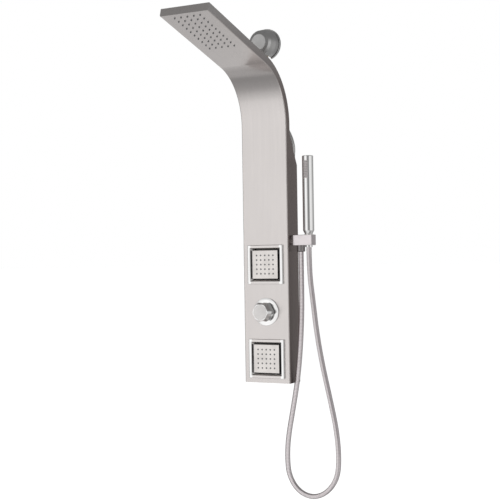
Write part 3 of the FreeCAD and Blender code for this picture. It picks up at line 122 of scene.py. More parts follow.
# Half width, corner radius and height above the panel's front, round the bar's section.
FRAME_SECTION = [
    (0.0560, 0.0015, 0.0000), (0.0560, 0.0015, 0.0044), (0.0558, 0.0015, 0.0053), (0.0552, 0.0012, 0.0058),
    (0.0545, 0.0010, 0.0060), (0.0484, 0.0008, 0.0060), (0.0477, 0.0007, 0.0057), (0.0471, 0.0006, 0.0050),
    (0.0466, 0.0005, 0.0036), (0.0458, 0.0005, 0.0020), (0.0447, 0.0005, 0.0008), (0.0446, 0.0005, -0.0080),
    (0.0461, 0.0005, -0.0080), (0.0461, 0.0005, -0.0030), (0.0476, 0.0005, -0.0030), (0.0476, 0.0005, 0.0000),
]
# Where the polished upright bars begin, from the middle, and where the pale inner walls of the gap begin, in depth;
# that pale matte colour is painted light in the gap.
UPRIGHT_BARS = (0.0450, 0.0466)
PAINTED_GAP_LIGHT_DEPTH = (-0.0672, -0.0664)

# ---- where the metal's colour carries painted shade and light --------------------------
# By how far the surface faces sideways, and by height in metres. Sideways faces take a darker colour, partly a
# duller finish and partly painted shade, darker towards the bottom and paler high up as painted light; the jet
# plates' sides take painted shade.
SIDE_FACING = (0.6, 0.95)
SHADED_EDGE_FACING = (0.8, 0.95)
LOW_FLANK_SHADE = (-0.5, 0.05)
HIGH_FLANK_LIGHT = (0.24, 0.40)

# ---- the studio ------------------------------------------------------------------------
CAMERA_SPOT = (1.4754, -2.8922, -0.2193)
CAMERA_YAW, CAMERA_PITCH, CAMERA_ROLL = 0.495, 0.0074, -0.0156
FOCAL_PIXELS, PICTURE_PIXELS = 1115.07, 500.0
SENSOR_WIDTH = 36.0
CLIP_END = 300.0
FLOOR_LEVEL = -0.985
FLOOR_HALF = 90.0
FLOOR_CELLS = 8
FLOOR_GLOW = 0.46
LAMP_TARGET = (0.0, -0.1, -0.1)
# Name, place and side length in metres, power in watts.
LAMPS = (
    ("Key softbox", (-2.2, -2.9, 1.6), 1.6, 26.0),
    ("Fill softbox", (2.8, -2.2, 0.5), 1.8, 12.0),
    ("Top softbox", (0.3, -0.6, 2.6), 1.8, 12.0),
)
# What the metal reflects all round: degrees from straight ahead of the front, level.
STUDIO_ROUND = [
    (-180, 0.75), (-160, 0.78), (-140, 0.70), (-115, 0.55), (-92, 0.40), (-74, 0.26), (-58, 0.20), (-47, 0.50),
    (-39, 1.02), (-28, 1.10), (-12, 1.0), (-2, 0.88), (8, 0.50), (17, 0.30), (30, 0.22), (41, 0.24),
    (50, 0.55), (60, 0.88), (76, 0.92), (99, 0.78), (115, 0.55), (127, 0.42), (140, 0.32), (151, 0.28),
    (161, 0.36), (171, 0.60),
]
# What it reflects from below: the level straight ahead, then each change of it along Y, as
# where it starts, where it ends and how much it adds.
LOW_LEVEL = 0.80
STUDIO_LOW = [
    (-0.56, -0.44, -0.27), (-0.44, -0.30, -0.14), (-0.30, -0.15, -0.04), (-0.15, 0.05, -0.055),
    (0.13, 0.17, 0.155), (0.32, 0.62, -0.075),
]
# Where the round light gives way, by the Z of the direction, to the one below and to the
# ceiling; the soft level lights all that isn't a reflection.
LOW_ZONE = (-0.60, -0.74)
CEILING_ZONE = (0.22, 0.42)
CEILING_LEVEL = 0.25
SOFT_LEVEL = 0.72


# ---- small helpers for shader trees ----------------------------------------------------
def node(tree, kind, **settings):
    """A new node of that kind, with its settings by name."""
    made = tree.nodes.new(kind)
    for name, value in settings.items():
        setattr(made, name, value)
    return made


def join(tree, value, socket):
    """Links an output, or sets a plain value."""
    if isinstance(value, bpy.types.NodeSocket):
        tree.links.new(value, socket)
    else:
        socket.default_value = value


def put(tree, target, **values):
    """Links or sets a node's inputs; an underscore stands for a space in an input's name."""
    for label, value in values.items():
        join(tree, value, target.inputs[label.replace("_", " ")])


def calc(tree, operation, *values):
    """One step of arithmetic on values."""
    made = node(tree, "ShaderNodeMath", operation=operation)
    for index, value in enumerate(values):
        join(tree, value, made.inputs[index])
    return made.outputs[0]


def vary(tree, value, by, base):
    """A base that rises with the value."""
    return calc(tree, "MULTIPLY_ADD", value, by, base)


def spread(tree, value, low, high, to_low=0.0, to_high=1.0):
    """Maps a value from one range to another, held at the ends."""
    made = node(tree, "ShaderNodeMapRange", clamp=True)
    for index, item in enumerate((value, low, high, to_low, to_high)):
        join(tree, item, made.inputs[index])
    return made.outputs[0]


def axes(tree, vector):
    """The X, Y and Z of a vector."""
    made = node(tree, "ShaderNodeSeparateXYZ")
    join(tree, vector, made.inputs[0])
    return made.outputs


def blend_colour(tree, share, first, second):
    """Mixes two colours by a share from 0 to 1; inputs 6 and 7 are the node's colours."""
    made = node(tree, "ShaderNodeMix", data_type="RGBA")
    join(tree, share, made.inputs[0])
    join(tree, first, made.inputs[6])
    join(tree, second, made.inputs[7])
    return made.outputs[2]


def blend_value(tree, share, first, second):
    """Mixes two values by a share from 0 to 1; inputs 2 and 3 are the node's values."""
    made = node(tree, "ShaderNodeMix", data_type="FLOAT")
    join(tree, share, made.inputs[0])
    join(tree, first, made.inputs[2])
    join(tree, second, made.inputs[3])
    return made.outputs[0]


def stretch(tree, position, x, y, z):
    """Positions scaled on each axis, for a pattern with its own spacing."""
    made = node(tree, "ShaderNodeVectorMath", operation="MULTIPLY")
    join(tree, position, made.inputs[0])
    made.inputs[1].default_value = (x, y, z)
    return made.outputs[0]


def cloud(tree, position, scale, detail, roughness):
    """Soft noise from 0 to 1."""
    made = node(tree, "ShaderNodeTexNoise")
    put(tree, made, Vector=position, Scale=scale, Detail=detail, Roughness=roughness)
    return made.outputs[0]


def shade(red, green, blue):
    """A linear colour with full alpha."""
    return (red, green, blue, 1.0)


def tint(colour, factor, lift=0.0):
    """The colour times a factor, with a lift, held at full."""
    return [min(1.0, channel * factor + lift) for channel in colour[:3]] + [1.0]


def new_group(name, inputs, outputs):
    """An empty shader group with named inputs and outputs."""
    group = bpy.data.node_groups.new(name, "ShaderNodeTree")
    for label, kind, default in inputs:
        socket = group.interface.new_socket(label, in_out="INPUT", socket_type=kind)
        if default is not None:
            socket.default_value = default
    for label, kind in outputs:
        group.interface.new_socket(label, in_out="OUTPUT", socket_type=kind)
    entry = group.nodes.new("NodeGroupInput")
    leave = group.nodes.new("NodeGroupOutput")
    return group, entry, leave


# ---- the shared effects ----------------------------------------------------------------
def brushed_lines_group():
    """Fine lines left by a belt, and broad streaks of the same direction."""
    group, entry, leave = new_group(
        "Brushed lines",
        [("Position", "NodeSocketVector", None), ("Side", "NodeSocketFloat", 0.0)],
        [("Lines", "NodeSocketFloat"), ("Streaks", "NodeSocketFloat")],
    )
    position, side = entry.outputs[0], entry.outputs[1]
    for index, (across, along, detail, roughness) in enumerate(((2600.0, 14.0, 3.0, 0.65), (240.0, 2.5, 2.0, 0.5))):
        front = cloud(group, stretch(group, position, across, along, along), 1.0, detail, roughness)
        flank = cloud(group, stretch(group, position, along, across, along), 1.0, detail, roughness)
        group.links.new(blend_value(group, side, front, flank), leave.inputs[index])
    return group


def handling_group():
    """Faint smears from hands and water, and a few fine specks."""
    group, entry, leave = new_group(
        "Handling marks",
        [("Position", "NodeSocketVector", None)],
        [("Smears", "NodeSocketFloat"), ("Specks", "NodeSocketFloat")],
    )
    smear = cloud(group, stretch(group, entry.outputs[0], 22.0, 22.0, 9.0), 1.0, 4.0, 0.55)
    group.links.new(spread(group, smear, 0.35, 0.72), leave.inputs[0])
    dots = node(group, "ShaderNodeTexVoronoi", feature="F1")
    put(group, dots, Vector=entry.outputs[0], Scale=420.0)
    group.links.new(spread(group, dots.outputs["Distance"], 0.06, 0.16, 1.0, 0.0), leave.inputs[1])
    return group


def moulded_group():
    """The fine even grain of a moulded or cast skin, with slow changes of tone."""
    group, entry, leave = new_group(
        "Moulded skin",
        [("Position", "NodeSocketVector", None), ("Grain per metre", "NodeSocketFloat", 1800.0)],
        [("Height", "NodeSocketFloat"), ("Tone", "NodeSocketFloat")],
    )
    fine = cloud(group, entry.outputs[0], entry.outputs[1], 3.0, 0.5)
    slow = cloud(group, entry.outputs[0], 26.0, 3.0, 0.5)
    group.links.new(fine, leave.inputs[0])
    group.links.new(slow, leave.inputs[1])
    return group


GROUPS = {}


def use_group(tree, key, position, **values):
    """Places a shared effect in a material, with that material's own values."""
    if key not in GROUPS:
        makers = {"brushed": brushed_lines_group, "handling": handling_group, "moulded": moulded_group}
        GROUPS[key] = makers[key]()
    made = tree.nodes.new("ShaderNodeGroup")
    made.node_tree = GROUPS[key]
    put(tree, made, Position=position, **values)
    return made.outputs


def start_finish(name):
    """A new material: its tree, its Principled shader, object positions and object normals."""
    material = bpy.data.materials.new(name)
    material.use_nodes = True
    tree = material.node_tree
    shader = next(item for item in tree.nodes if item.type == "BSDF_PRINCIPLED")
    where = node(tree, "ShaderNodeTexCoord")
    return material, tree, shader, where.outputs["Object"], where.outputs["Normal"]


def hose_chart(tree):
    """The U round a hose and the V along it, from the hose's own map."""
    where = node(tree, "ShaderNodeUVMap")
    split = axes(tree, where.outputs[0])
    return split[0], split[1]


def bump(tree, shader, height, distance, strength):
    """A small bump from a height; its distance is in metres."""
    made = node(tree, "ShaderNodeBump")
    put(tree, made, Strength=strength, Distance=distance, Height=height)
    tree.links.new(made.outputs[0], shader.inputs["Normal"])


# ---- the finishes ----------------------------------------------------------------------
def brushed_steel(name, colour, side_shade_colour):
    """Belt-brushed stainless sheet: fine upright lines, blurred across and sharp along; its sides are darker, partly
    a duller finish and partly painted shade.
    """
    material, tree, shader, position, normal = start_finish(name)
    side = spread(tree, calc(tree, "ABSOLUTE", axes(tree, normal)[0]), *SIDE_FACING)
    lines, streaks = use_group(tree, "brushed", position, Side=side)
    smears = use_group(tree, "handling", position)[0]
    height = axes(tree, position)[2]
    # The sides' colour: partly their duller finish, partly painted shade, darker towards the bottom, with painted
    # light making them paler high up.
    flank = blend_colour(tree, spread(tree, height, *LOW_FLANK_SHADE), tint(side_shade_colour, 0.82), side_shade_colour)
    flank = blend_colour(tree, spread(tree, height, *HIGH_FLANK_LIGHT), flank, tint(side_shade_colour, 0.6, 0.4))
    base = blend_colour(tree, side, colour, flank)
    darker = blend_colour(tree, 0.08, base, shade(0.0, 0.0, 0.0))
    share = calc(tree, "MULTIPLY_ADD", lines, 0.75, calc(tree, "MULTIPLY", streaks, 0.25))
    rough = vary(tree, smears, by=0.015, base=vary(tree, lines, by=0.05, base=0.20))
    put(tree, shader, Base_Color=blend_colour(tree, spread(tree, share, 0.36, 0.66), darker, base),
        Metallic=1.0, Roughness=rough, Anisotropic=0.95)
    across = node(tree, "ShaderNodeCombineXYZ")
    put(tree, across, X=calc(tree, "SUBTRACT", 1.0, side), Y=side)
    put(tree, shader, Tangent=across.outputs[0])
    bump(tree, shader, lines, distance=0.00003, strength=0.35)
    return material


def polished_chrome(name, colour, roughness):
    """Bright plating over brass or plastic, with faint smears that dull it in places."""
    material, tree, shader, position, _ = start_finish(name)
    smears, specks = use_group(tree, "handling", position)
    height = use_group(tree, "moulded", position, Grain_per_metre=160.0)[0]
    rough = vary(tree, specks, by=0.06, base=vary(tree, smears, by=0.05, base=roughness))
    put(tree, shader, Base_Color=blend_colour(tree, smears, colour, tint(colour, 0.93)), Metallic=1.0,
        Roughness=rough)
    bump(tree, shader, height, distance=0.00004, strength=0.12)
    return material


def satin_metal(name, colour, roughness, grain=2400.0, depth=0.00003, shaded_sides=False):
    """Fine-blasted or zinc-plated metal: an even soft sheen with a fine grain."""
    material, tree, shader, position, normal = start_finish(name)
    smears = use_group(tree, "handling", position)[0]
    height, tone = use_group(tree, "moulded", position, Grain_per_metre=grain)
    skin = blend_colour(tree, spread(tree, tone, 0.35, 0.65), colour, tint(colour, 0.86))
    if shaded_sides:
        # Painted shade: faces turned sideways take a near-black colour.
        edge = spread(tree, calc(tree, "ABSOLUTE", axes(tree, normal)[0]), *SHADED_EDGE_FACING)
        skin = blend_colour(tree, edge, skin, shade(0.06, 0.055, 0.055))
    rough = vary(tree, smears, by=0.05, base=vary(tree, height, by=0.1, base=roughness - 0.04))
    put(tree, shader, Base_Color=skin, Metallic=1.0, Roughness=rough)
    bump(tree, shader, height, distance=depth, strength=0.4)
    return material


def knurled_metal(name, colour):
    """Plated metal rolled with upright teeth all round, with painted shade between the teeth."""
    material, tree, shader, position, normal = start_finish(name)
    split = axes(tree, normal)
    turn = calc(tree, "ARCTAN2", split[1], split[0])
    teeth = 24.0
    tooth = calc(tree, "ABSOLUTE", calc(tree, "SINE", calc(tree, "MULTIPLY", turn, teeth)))
    height, tone = use_group(tree, "moulded", position, Grain_per_metre=900.0)
    # Painted shade: the colour darkens between the teeth.
    mixed = blend_colour(tree, spread(tree, tooth, 0.15, 0.7), tint(colour, 0.22), colour)
    worn = blend_colour(tree, calc(tree, "MULTIPLY", tone, 0.4), mixed, tint(colour, 0.85))
    put(tree, shader, Base_Color=worn, Metallic=1.0, Roughness=vary(tree, height, by=0.1, base=0.18))
    bump(tree, shader, tooth, distance=0.0003, strength=0.5)
    return material


def framed_chrome(name, bright, brushed):
    """A jet's frame: polished upright bars, duller bars above and below with painted shade, and pale inner walls
    painted light in the gap.
    """
    material, tree, shader, position, _ = start_finish(name)
    split = axes(tree, position)
    upright = spread(tree, calc(tree, "ABSOLUTE", split[0]), *UPRIGHT_BARS)
    smears = use_group(tree, "handling", position)[0]
    grain = cloud(tree, stretch(tree, position, 14.0, 14.0, 2400.0), 1.0, 3.0, 0.6)
    # Besides their grain, the bars above and below take a darker colour than the chrome: painted shade.
    level_bars = blend_colour(tree, spread(tree, grain, 0.35, 0.65), brushed, tint(brushed, 0.94))
    polished = blend_colour(tree, smears, bright, tint(bright, 0.95))
    bars = blend_colour(tree, upright, level_bars, polished)
    # Painted light: the walls inside the gap take a pale matte colour.
    painted_gap_light = spread(tree, split[1], *PAINTED_GAP_LIGHT_DEPTH)
    rough = blend_value(tree, upright, vary(tree, grain, by=0.08, base=0.14), 0.08)
    put(tree, shader, Base_Color=blend_colour(tree, painted_gap_light, bars, shade(0.80, 0.79, 0.78)),
        Metallic=calc(tree, "SUBTRACT", 1.0, painted_gap_light), Roughness=blend_value(tree, painted_gap_light, rough, 0.4))
    bump(tree, shader, grain, distance=0.00002, strength=0.2)
    return material


def moulded_plastic(name, colour, roughness, grain=1500.0, depth=0.00004, sheen=0.0):
    """Moulded plastic, rubber or ceramic: a fine skin with slow changes of tone."""
    material, tree, shader, position, _ = start_finish(name)
    smears = use_group(tree, "handling", position)[0]
    height, tone = use_group(tree, "moulded", position, Grain_per_metre=grain)
    mixed = blend_colour(tree, spread(tree, tone, 0.3, 0.7), colour, tint(colour, 0.84))
    dusted = blend_colour(tree, calc(tree, "MULTIPLY", smears, 0.4), mixed, tint(colour, 1.12, 0.012))
    rough = vary(tree, smears, by=0.06, base=vary(tree, height, by=0.12, base=roughness - 0.06))
    put(tree, shader, Base_Color=dusted, Roughness=rough, Specular_IOR_Level=0.45, Sheen_Weight=sheen)
    bump(tree, shader, height, distance=depth, strength=0.4)
    return material


def wound_steel(name, colour):
    """The wound steel strip of the hand shower's hose; V of its own map runs along the hose."""
    material, tree, shader, position, _ = start_finish(name)
    turn = calc(tree, "FRACT", hose_chart(tree)[1])
    groove = spread(tree, calc(tree, "ABSOLUTE", calc(tree, "SUBTRACT", turn, 0.5)), *STRIP_GROOVE)
    smears = use_group(tree, "handling", position)[0]
    tone = use_group(tree, "moulded", position, Grain_per_metre=1200.0)[1]
    # Painted shade: the colour darkens in the groove between turns.
    mixed = blend_colour(tree, calc(tree, "MULTIPLY", groove, 0.8), colour, tint(colour, 0.3))
    faded = blend_colour(tree, calc(tree, "MULTIPLY", tone, 0.5), mixed, tint(colour, 0.88))
    put(tree, shader, Base_Color=faded, Metallic=1.0, Roughness=vary(tree, smears, by=0.06, base=0.3))
    bump(tree, shader, calc(tree, "SUBTRACT", 1.0, groove), distance=0.0002, strength=0.3)
    return material


def braided_steel(name, colour, core):
    """Stainless braid over a rubber tube; U goes round the hose and V along it."""
    material, tree, shader, position, _ = start_finish(name)
    round_hose, along = hose_chart(tree)
    around = calc(tree, "MULTIPLY", round_hose, BRAID_WIRES_ROUND)
    bands = []
    for operation in ("ADD", "SUBTRACT"):
        phase = calc(tree, "FRACT", calc(tree, operation, around, along))
        off_middle = calc(tree, "ABSOLUTE", calc(tree, "SUBTRACT", phase, 0.5))
        bands.append(spread(tree, off_middle, *BRAID_BAND, 1.0, 0.0))
    over = calc(tree, "GREATER_THAN", calc(tree, "FRACT", calc(tree, "MULTIPLY", along, 0.5)), 0.5)
    crossing = blend_value(tree, over, *bands)
    cover = calc(tree, "MAXIMUM", *bands)
    height = calc(tree, "MULTIPLY_ADD", crossing, 0.6, calc(tree, "MULTIPLY", cover, 0.4))
    # Painted shade: the wires that pass under the crossings are darker.
    wires = blend_colour(tree, crossing, tint(colour, 0.7), colour)
    smears = use_group(tree, "handling", position)[0]
    put(tree, shader, Base_Color=blend_colour(tree, cover, core, wires), Metallic=cover,
        Roughness=vary(tree, smears, by=0.08, base=0.3))
    bump(tree, shader, height, distance=0.0004, strength=0.6)
    return material


FINISHES = {}


def make_finishes(tones):
    """Every finish of the column, by name."""
    # The shell's sides take a darker colour, partly painted shade.
    steel, steel_side_shade = shade(*tones.steel), shade(*tones.steel_side_shade)
    FINISHES["shell"] = brushed_steel("Brushed stainless sheet", steel, steel_side_shade)
    FINISHES["chrome"] = polished_chrome("Polished chrome", shade(*tones.chrome), 0.07)
    FINISHES["satin"] = satin_metal("Satin chrome", shade(0.58, 0.575, 0.57), 0.36)
    FINISHES["jet"] = satin_metal("Jet plate", shade(0.78, 0.745, 0.72), 0.26, shaded_sides=True)
    FINISHES["holder"] = satin_metal("Satin holder", shade(0.84, 0.785, 0.795), 0.27)
    FINISHES["disc"] = satin_metal("Satin knob disc", shade(0.70, 0.68, 0.67), 0.22)
    FINISHES["knurl"] = knurled_metal("Knurled nut", shade(0.40, 0.375, 0.375))
    # The frame's bars above and below take a darker colour as painted shade; its gap walls are painted light.
    FINISHES["frame"] = framed_chrome("Jet frame", shade(0.92, 0.915, 0.91), shade(0.70, 0.665, 0.65))
    FINISHES["wound"] = wound_steel("Wound steel strip", shade(*tones.hose))
    FINISHES["braid"] = braided_steel("Braided steel", shade(0.62, 0.61, 0.60), shade(0.03, 0.03, 0.03))
    FINISHES["brass"] = satin_metal("Cast brass", shade(0.60, 0.43, 0.20), 0.34, grain=1500.0, depth=0.0001)
    FINISHES["zinc"] = satin_metal("Zinc-plated steel", shade(0.56, 0.57, 0.58), 0.36, grain=2200.0, depth=0.00005)
    FINISHES["clip"] = satin_metal("Clip steel", shade(0.50, 0.50, 0.51), 0.30, grain=2600.0)
    FINISHES["dark"] = moulded_plastic("Black moulded plastic", shade(0.022, 0.022, 0.024), 0.42)
    FINISHES["pale"] = moulded_plastic("White moulded plastic", shade(0.74, 0.73, 0.71), 0.36)
    FINISHES["ceramic"] = moulded_plastic("Valve ceramic", shade(0.80, 0.78, 0.74), 0.16,
                                          grain=3000.0, depth=0.00001)
    FINISHES["silicone"] = moulded_plastic("Grey silicone", shade(0.16, 0.16, 0.165), 0.55,
                                           grain=2200.0, depth=0.00003, sheen=0.15)
    FINISHES["spray"] = moulded_plastic("Spray strip", shade(0.50, 0.46, 0.455), 0.38,
                                        grain=2000.0, depth=0.00002)
    FINISHES["cup"] = moulded_plastic("Grey moulded plastic", shade(0.17, 0.17, 0.175), 0.38)
    FINISHES["pipe"] = moulded_plastic("White water pipe", shade(0.74, 0.75, 0.76), 0.4, grain=900.0)
    FINISHES["rubber"] = moulded_plastic("Seal rubber", shade(0.018, 0.018, 0.018), 0.62,
                                         grain=2600.0, sheen=0.1)


NODE_FINISHES = {
    "shell": ["front_shell", "back_cover"],
    "chrome": ["hose_wand_nut", "outlet_spacer", "diverter_knob", "knob_flange", "mounting_nut", "wand_body"],
    "holder": ["holder_block"],
    "disc": ["knob_cap"],
    "knurl": ["hose_outlet_nut"],
    "frame": ["upper_jet_frame", "lower_jet_frame"],
    "satin": ["wall_flange"],
    "jet": ["upper_jet_face", "lower_jet_face"],
    "wound": ["shower_hose"],
    "braid": ["supply_hose"],
    "brass": ["cartridge_nut", "diverter_body", "diverter_spindle", "outlet_elbow", "wall_elbow",
              "supply_lower_nut", "supply_upper_nut"],
    "zinc": ["cover_screws", "hanger_bar", "knob_grub_screw", "lower_bracket_screw", "lower_wall_bracket",
             "upper_wall_bracket", "stud_nuts"],
    "clip": ["pipe_clips"],
    "dark": ["diverter_cartridge", "rain_chamber", "upper_jet_swivel", "lower_jet_swivel",
             "upper_jet_retaining_ring", "lower_jet_retaining_ring"],
    "pale": ["holder_insert", "upper_jet_ball_liner", "lower_jet_ball_liner"],
    "ceramic": ["diverter_fixed_disc", "diverter_moving_disc"],
    "silicone": ["rain_nozzle_mat", "upper_jet_nozzle_mat", "lower_jet_nozzle_mat", "wand_spray_tips"],
    "spray": ["wand_spray_plate"],
    "cup": ["upper_jet_cup", "lower_jet_cup"],
    "pipe": ["rain_feed_pipe", "wand_feed_pipe", "upper_jet_pipe", "lower_jet_pipe"],
    "rubber": ["flange_gasket", "hose_outlet_washer", "supply_washers"],
}


# ---- making pieces ---------------------------------------------------------------------
def finish_piece(bm, name, material, smooth_degrees=32.0):
    """Turns a bmesh into an object at the origin, smooth except over sharp edges."""
    mesh = bpy.data.meshes.new(name)
    bm.to_mesh(mesh)
    bm.free()
    piece = bpy.data.objects.new(name, mesh)
    bpy.context.scene.collection.objects.link(piece)
    mesh.materials.append(material)
    mesh.shade_smooth()
    mesh.set_sharp_from_angle(angle=math.radians(smooth_degrees))
    return piece


def line_of(name, route):
    """The points of a smooth NURBS line with the route as its control points."""
    curve = bpy.data.curves.new(name, "CURVE")
    curve.dimensions = "3D"
    curve.resolution_u = LINE_RESOLUTION
    spline = curve.splines.new("NURBS")
    spline.points.add(len(route) - 1)
    for point, spot in zip(spline.points, route):
        point.co = (*spot, 1.0)
    spline.order_u = 3
    spline.use_endpoint_u = True
    holder = bpy.data.objects.new(name, curve)
    bpy.context.scene.collection.objects.link(holder)
    bpy.context.view_layer.update()
    mesh = bpy.data.meshes.new_from_object(holder.evaluated_get(bpy.context.evaluated_depsgraph_get()))
    points = [vertex.co.copy() for vertex in mesh.vertices]
    bpy.data.objects.remove(holder)
    bpy.data.meshes.remove(mesh)
    return points


def even_steps(points, count):
    """The same line, read at even distances, with each distance from its start."""
    runs = [0.0]
    for before, after in zip(points, points[1:]):
        runs.append(runs[-1] + (after - before).length)
    total = runs[-1]
    steps = []
    index = 0
    for step in range(count + 1):
        run = total * step / count
        while index < len(points) - 2 and runs[index + 1] < run:
            index += 1
        share = (run - runs[index]) / max(runs[index + 1] - runs[index], SHORTEST_RUN)
        steps.append((points[index].lerp(points[index + 1], share), run))
    return steps, total


def grow_rings(bm, rings):
    """Extrudes a closed ring of edges through lists of points; gives each vertex its ring and turn."""
    count = len(rings[0])
    first = bmesh.ops.create_circle(bm, segments=count, radius=1.0, cap_ends=False)["verts"]
    spots = {vertex: (0, round(math.atan2(vertex.co.y, vertex.co.x) / math.tau * count) % count) for vertex in first}
    edges = list(dict.fromkeys(edge for vertex in first for edge in vertex.link_edges))
    for index in range(1, len(rings)):
        made = bmesh.ops.extrude_edge_only(bm, edges=edges)["geom"]
        edges = [item for item in made if isinstance(item, bmesh.types.BMEdge)]
        for vertex in made:
            if not isinstance(vertex, bmesh.types.BMVert):
                continue
            others = [edge.other_vert(vertex) for edge in vertex.link_edges]
            old = next(other for other in others if spots.get(other, (None, 0))[0] == index - 1)
            spots[vertex] = (index, spots[old][1])
    for vertex, (index, turn) in spots.items():
        vertex.co = rings[index][turn]
    return spots


def hose_tube(name, points, count, sides, radius_at, along_scale, material):
    """A tube along a line, its rings square to it and sized by radius_at; gives it and its path."""
    steps, total = even_steps(points, count)
    side = Vector((1.0, 0.0, 0.0))
    rings = []
    for index, (centre, run) in enumerate(steps):
        along = (steps[min(index + 1, count)][0] - steps[max(index - 1, 0)][0]).normalized()
        side = (side - along * side.dot(along)).normalized()
        up = along.cross(side)
        ring = []
        for turn in range(sides):
            angle = math.tau * turn / sides
            reach = radius_at(run, turn / sides, total)
            ring.append(centre + (side * math.cos(angle) + up * math.sin(angle)) * reach)
        rings.append(ring)
    bm = bmesh.new()
    chart = bm.loops.layers.uv.new("UVMap")
    spots = grow_rings(bm, rings)
    for face in bm.faces:
        turns = [spots[loop.vert][1] for loop in face.loops]
        wrap = max(turns) - min(turns) > sides / 2
        for loop, turn in zip(face.loops, turns):
            if wrap and turn < sides / 2:
                turn += sides
            loop[chart].uv = (turn / sides, steps[spots[loop.vert][0]][1] * along_scale)
    bmesh.ops.holes_fill(bm, edges=[edge for edge in bm.edges if edge.is_boundary], sides=sides)
    bmesh.ops.recalc_face_normals(bm, faces=bm.faces)
    return finish_piece(bm, name, material, smooth_degrees=60.0), [list(step[0]) for step in steps]


def square_ring(half, corner, y, z):
    """Points round a square with rounded corners that faces the front."""
    points = []
    for quarter, (right, up) in enumerate(((1, 1), (-1, 1), (-1, -1), (1, -1))):
        for step in range(CORNER_STEPS + 1):
            angle = (quarter + step / CORNER_STEPS) * math.pi / 2.0
            x = right * (half - corner) + corner * math.cos(angle)
            points.append(Vector((x, y, z + up * (half - corner) + corner * math.sin(angle))))
    return points


# ---- settings --------------------------------------------------------------------------
class ColumnTones(bpy.types.PropertyGroup):
    """Colours of the finishes that a user may change."""

    steel: bpy.props.FloatVectorProperty(
        name="Brushed front", description="Colour of the brushed sheet seen from the front",
        subtype="COLOR", size=3, min=0.0, max=1.0, default=(0.77, 0.728, 0.712))
    # The sides' colour is darker than the front's: partly a duller finish, partly painted shade for how light falls
    # on them.
    steel_side_shade: bpy.props.FloatVectorProperty(
        name="Brushed sides", description="Colour of the duller folded sides of the column",
        subtype="COLOR", size=3, min=0.0, max=1.0, default=(0.30, 0.252, 0.240))
    chrome: bpy.props.FloatVectorProperty(
        name="Chrome", description="Colour of the plated knob, its flange, the nuts and the hand shower",
        subtype="COLOR", size=3, min=0.0, max=1.0, default=(0.91, 0.905, 0.90))
    hose: bpy.props.FloatVectorProperty(
        name="Hose strip", description="Colour of the wound strip of the hand shower's hose",
        subtype="COLOR", size=3, min=0.0, max=1.0, default=(0.80, 0.745, 0.755))


class ColumnSizes(bpy.types.PropertyGroup):
    """Sizes of the modelled pieces that a user may change."""

    strip_pitch: bpy.props.FloatProperty(
        name="Strip pitch", description="Distance along the hose from one turn of the strip to the next",
        subtype="DISTANCE", unit="LENGTH", min=0.002, max=0.01, default=0.0040)
    hose_radius: bpy.props.FloatProperty(
        name="Hose radius", description="Outer radius of the hand shower's hose",
        subtype="DISTANCE", unit="LENGTH", min=0.004, max=0.01, default=0.0075)
    supply_radius: bpy.props.FloatProperty(
        name="Supply radius", description="Outer radius of the braided supply hose",
        subtype="DISTANCE", unit="LENGTH", min=0.004, max=0.01, default=0.0074)
    frame_height: bpy.props.FloatProperty(
        name="Frame height", description="How far the jet frames stand out from the front sheet",
        subtype="DISTANCE", unit="LENGTH", min=0.003, max=FRAME_HEIGHT, default=FRAME_HEIGHT)


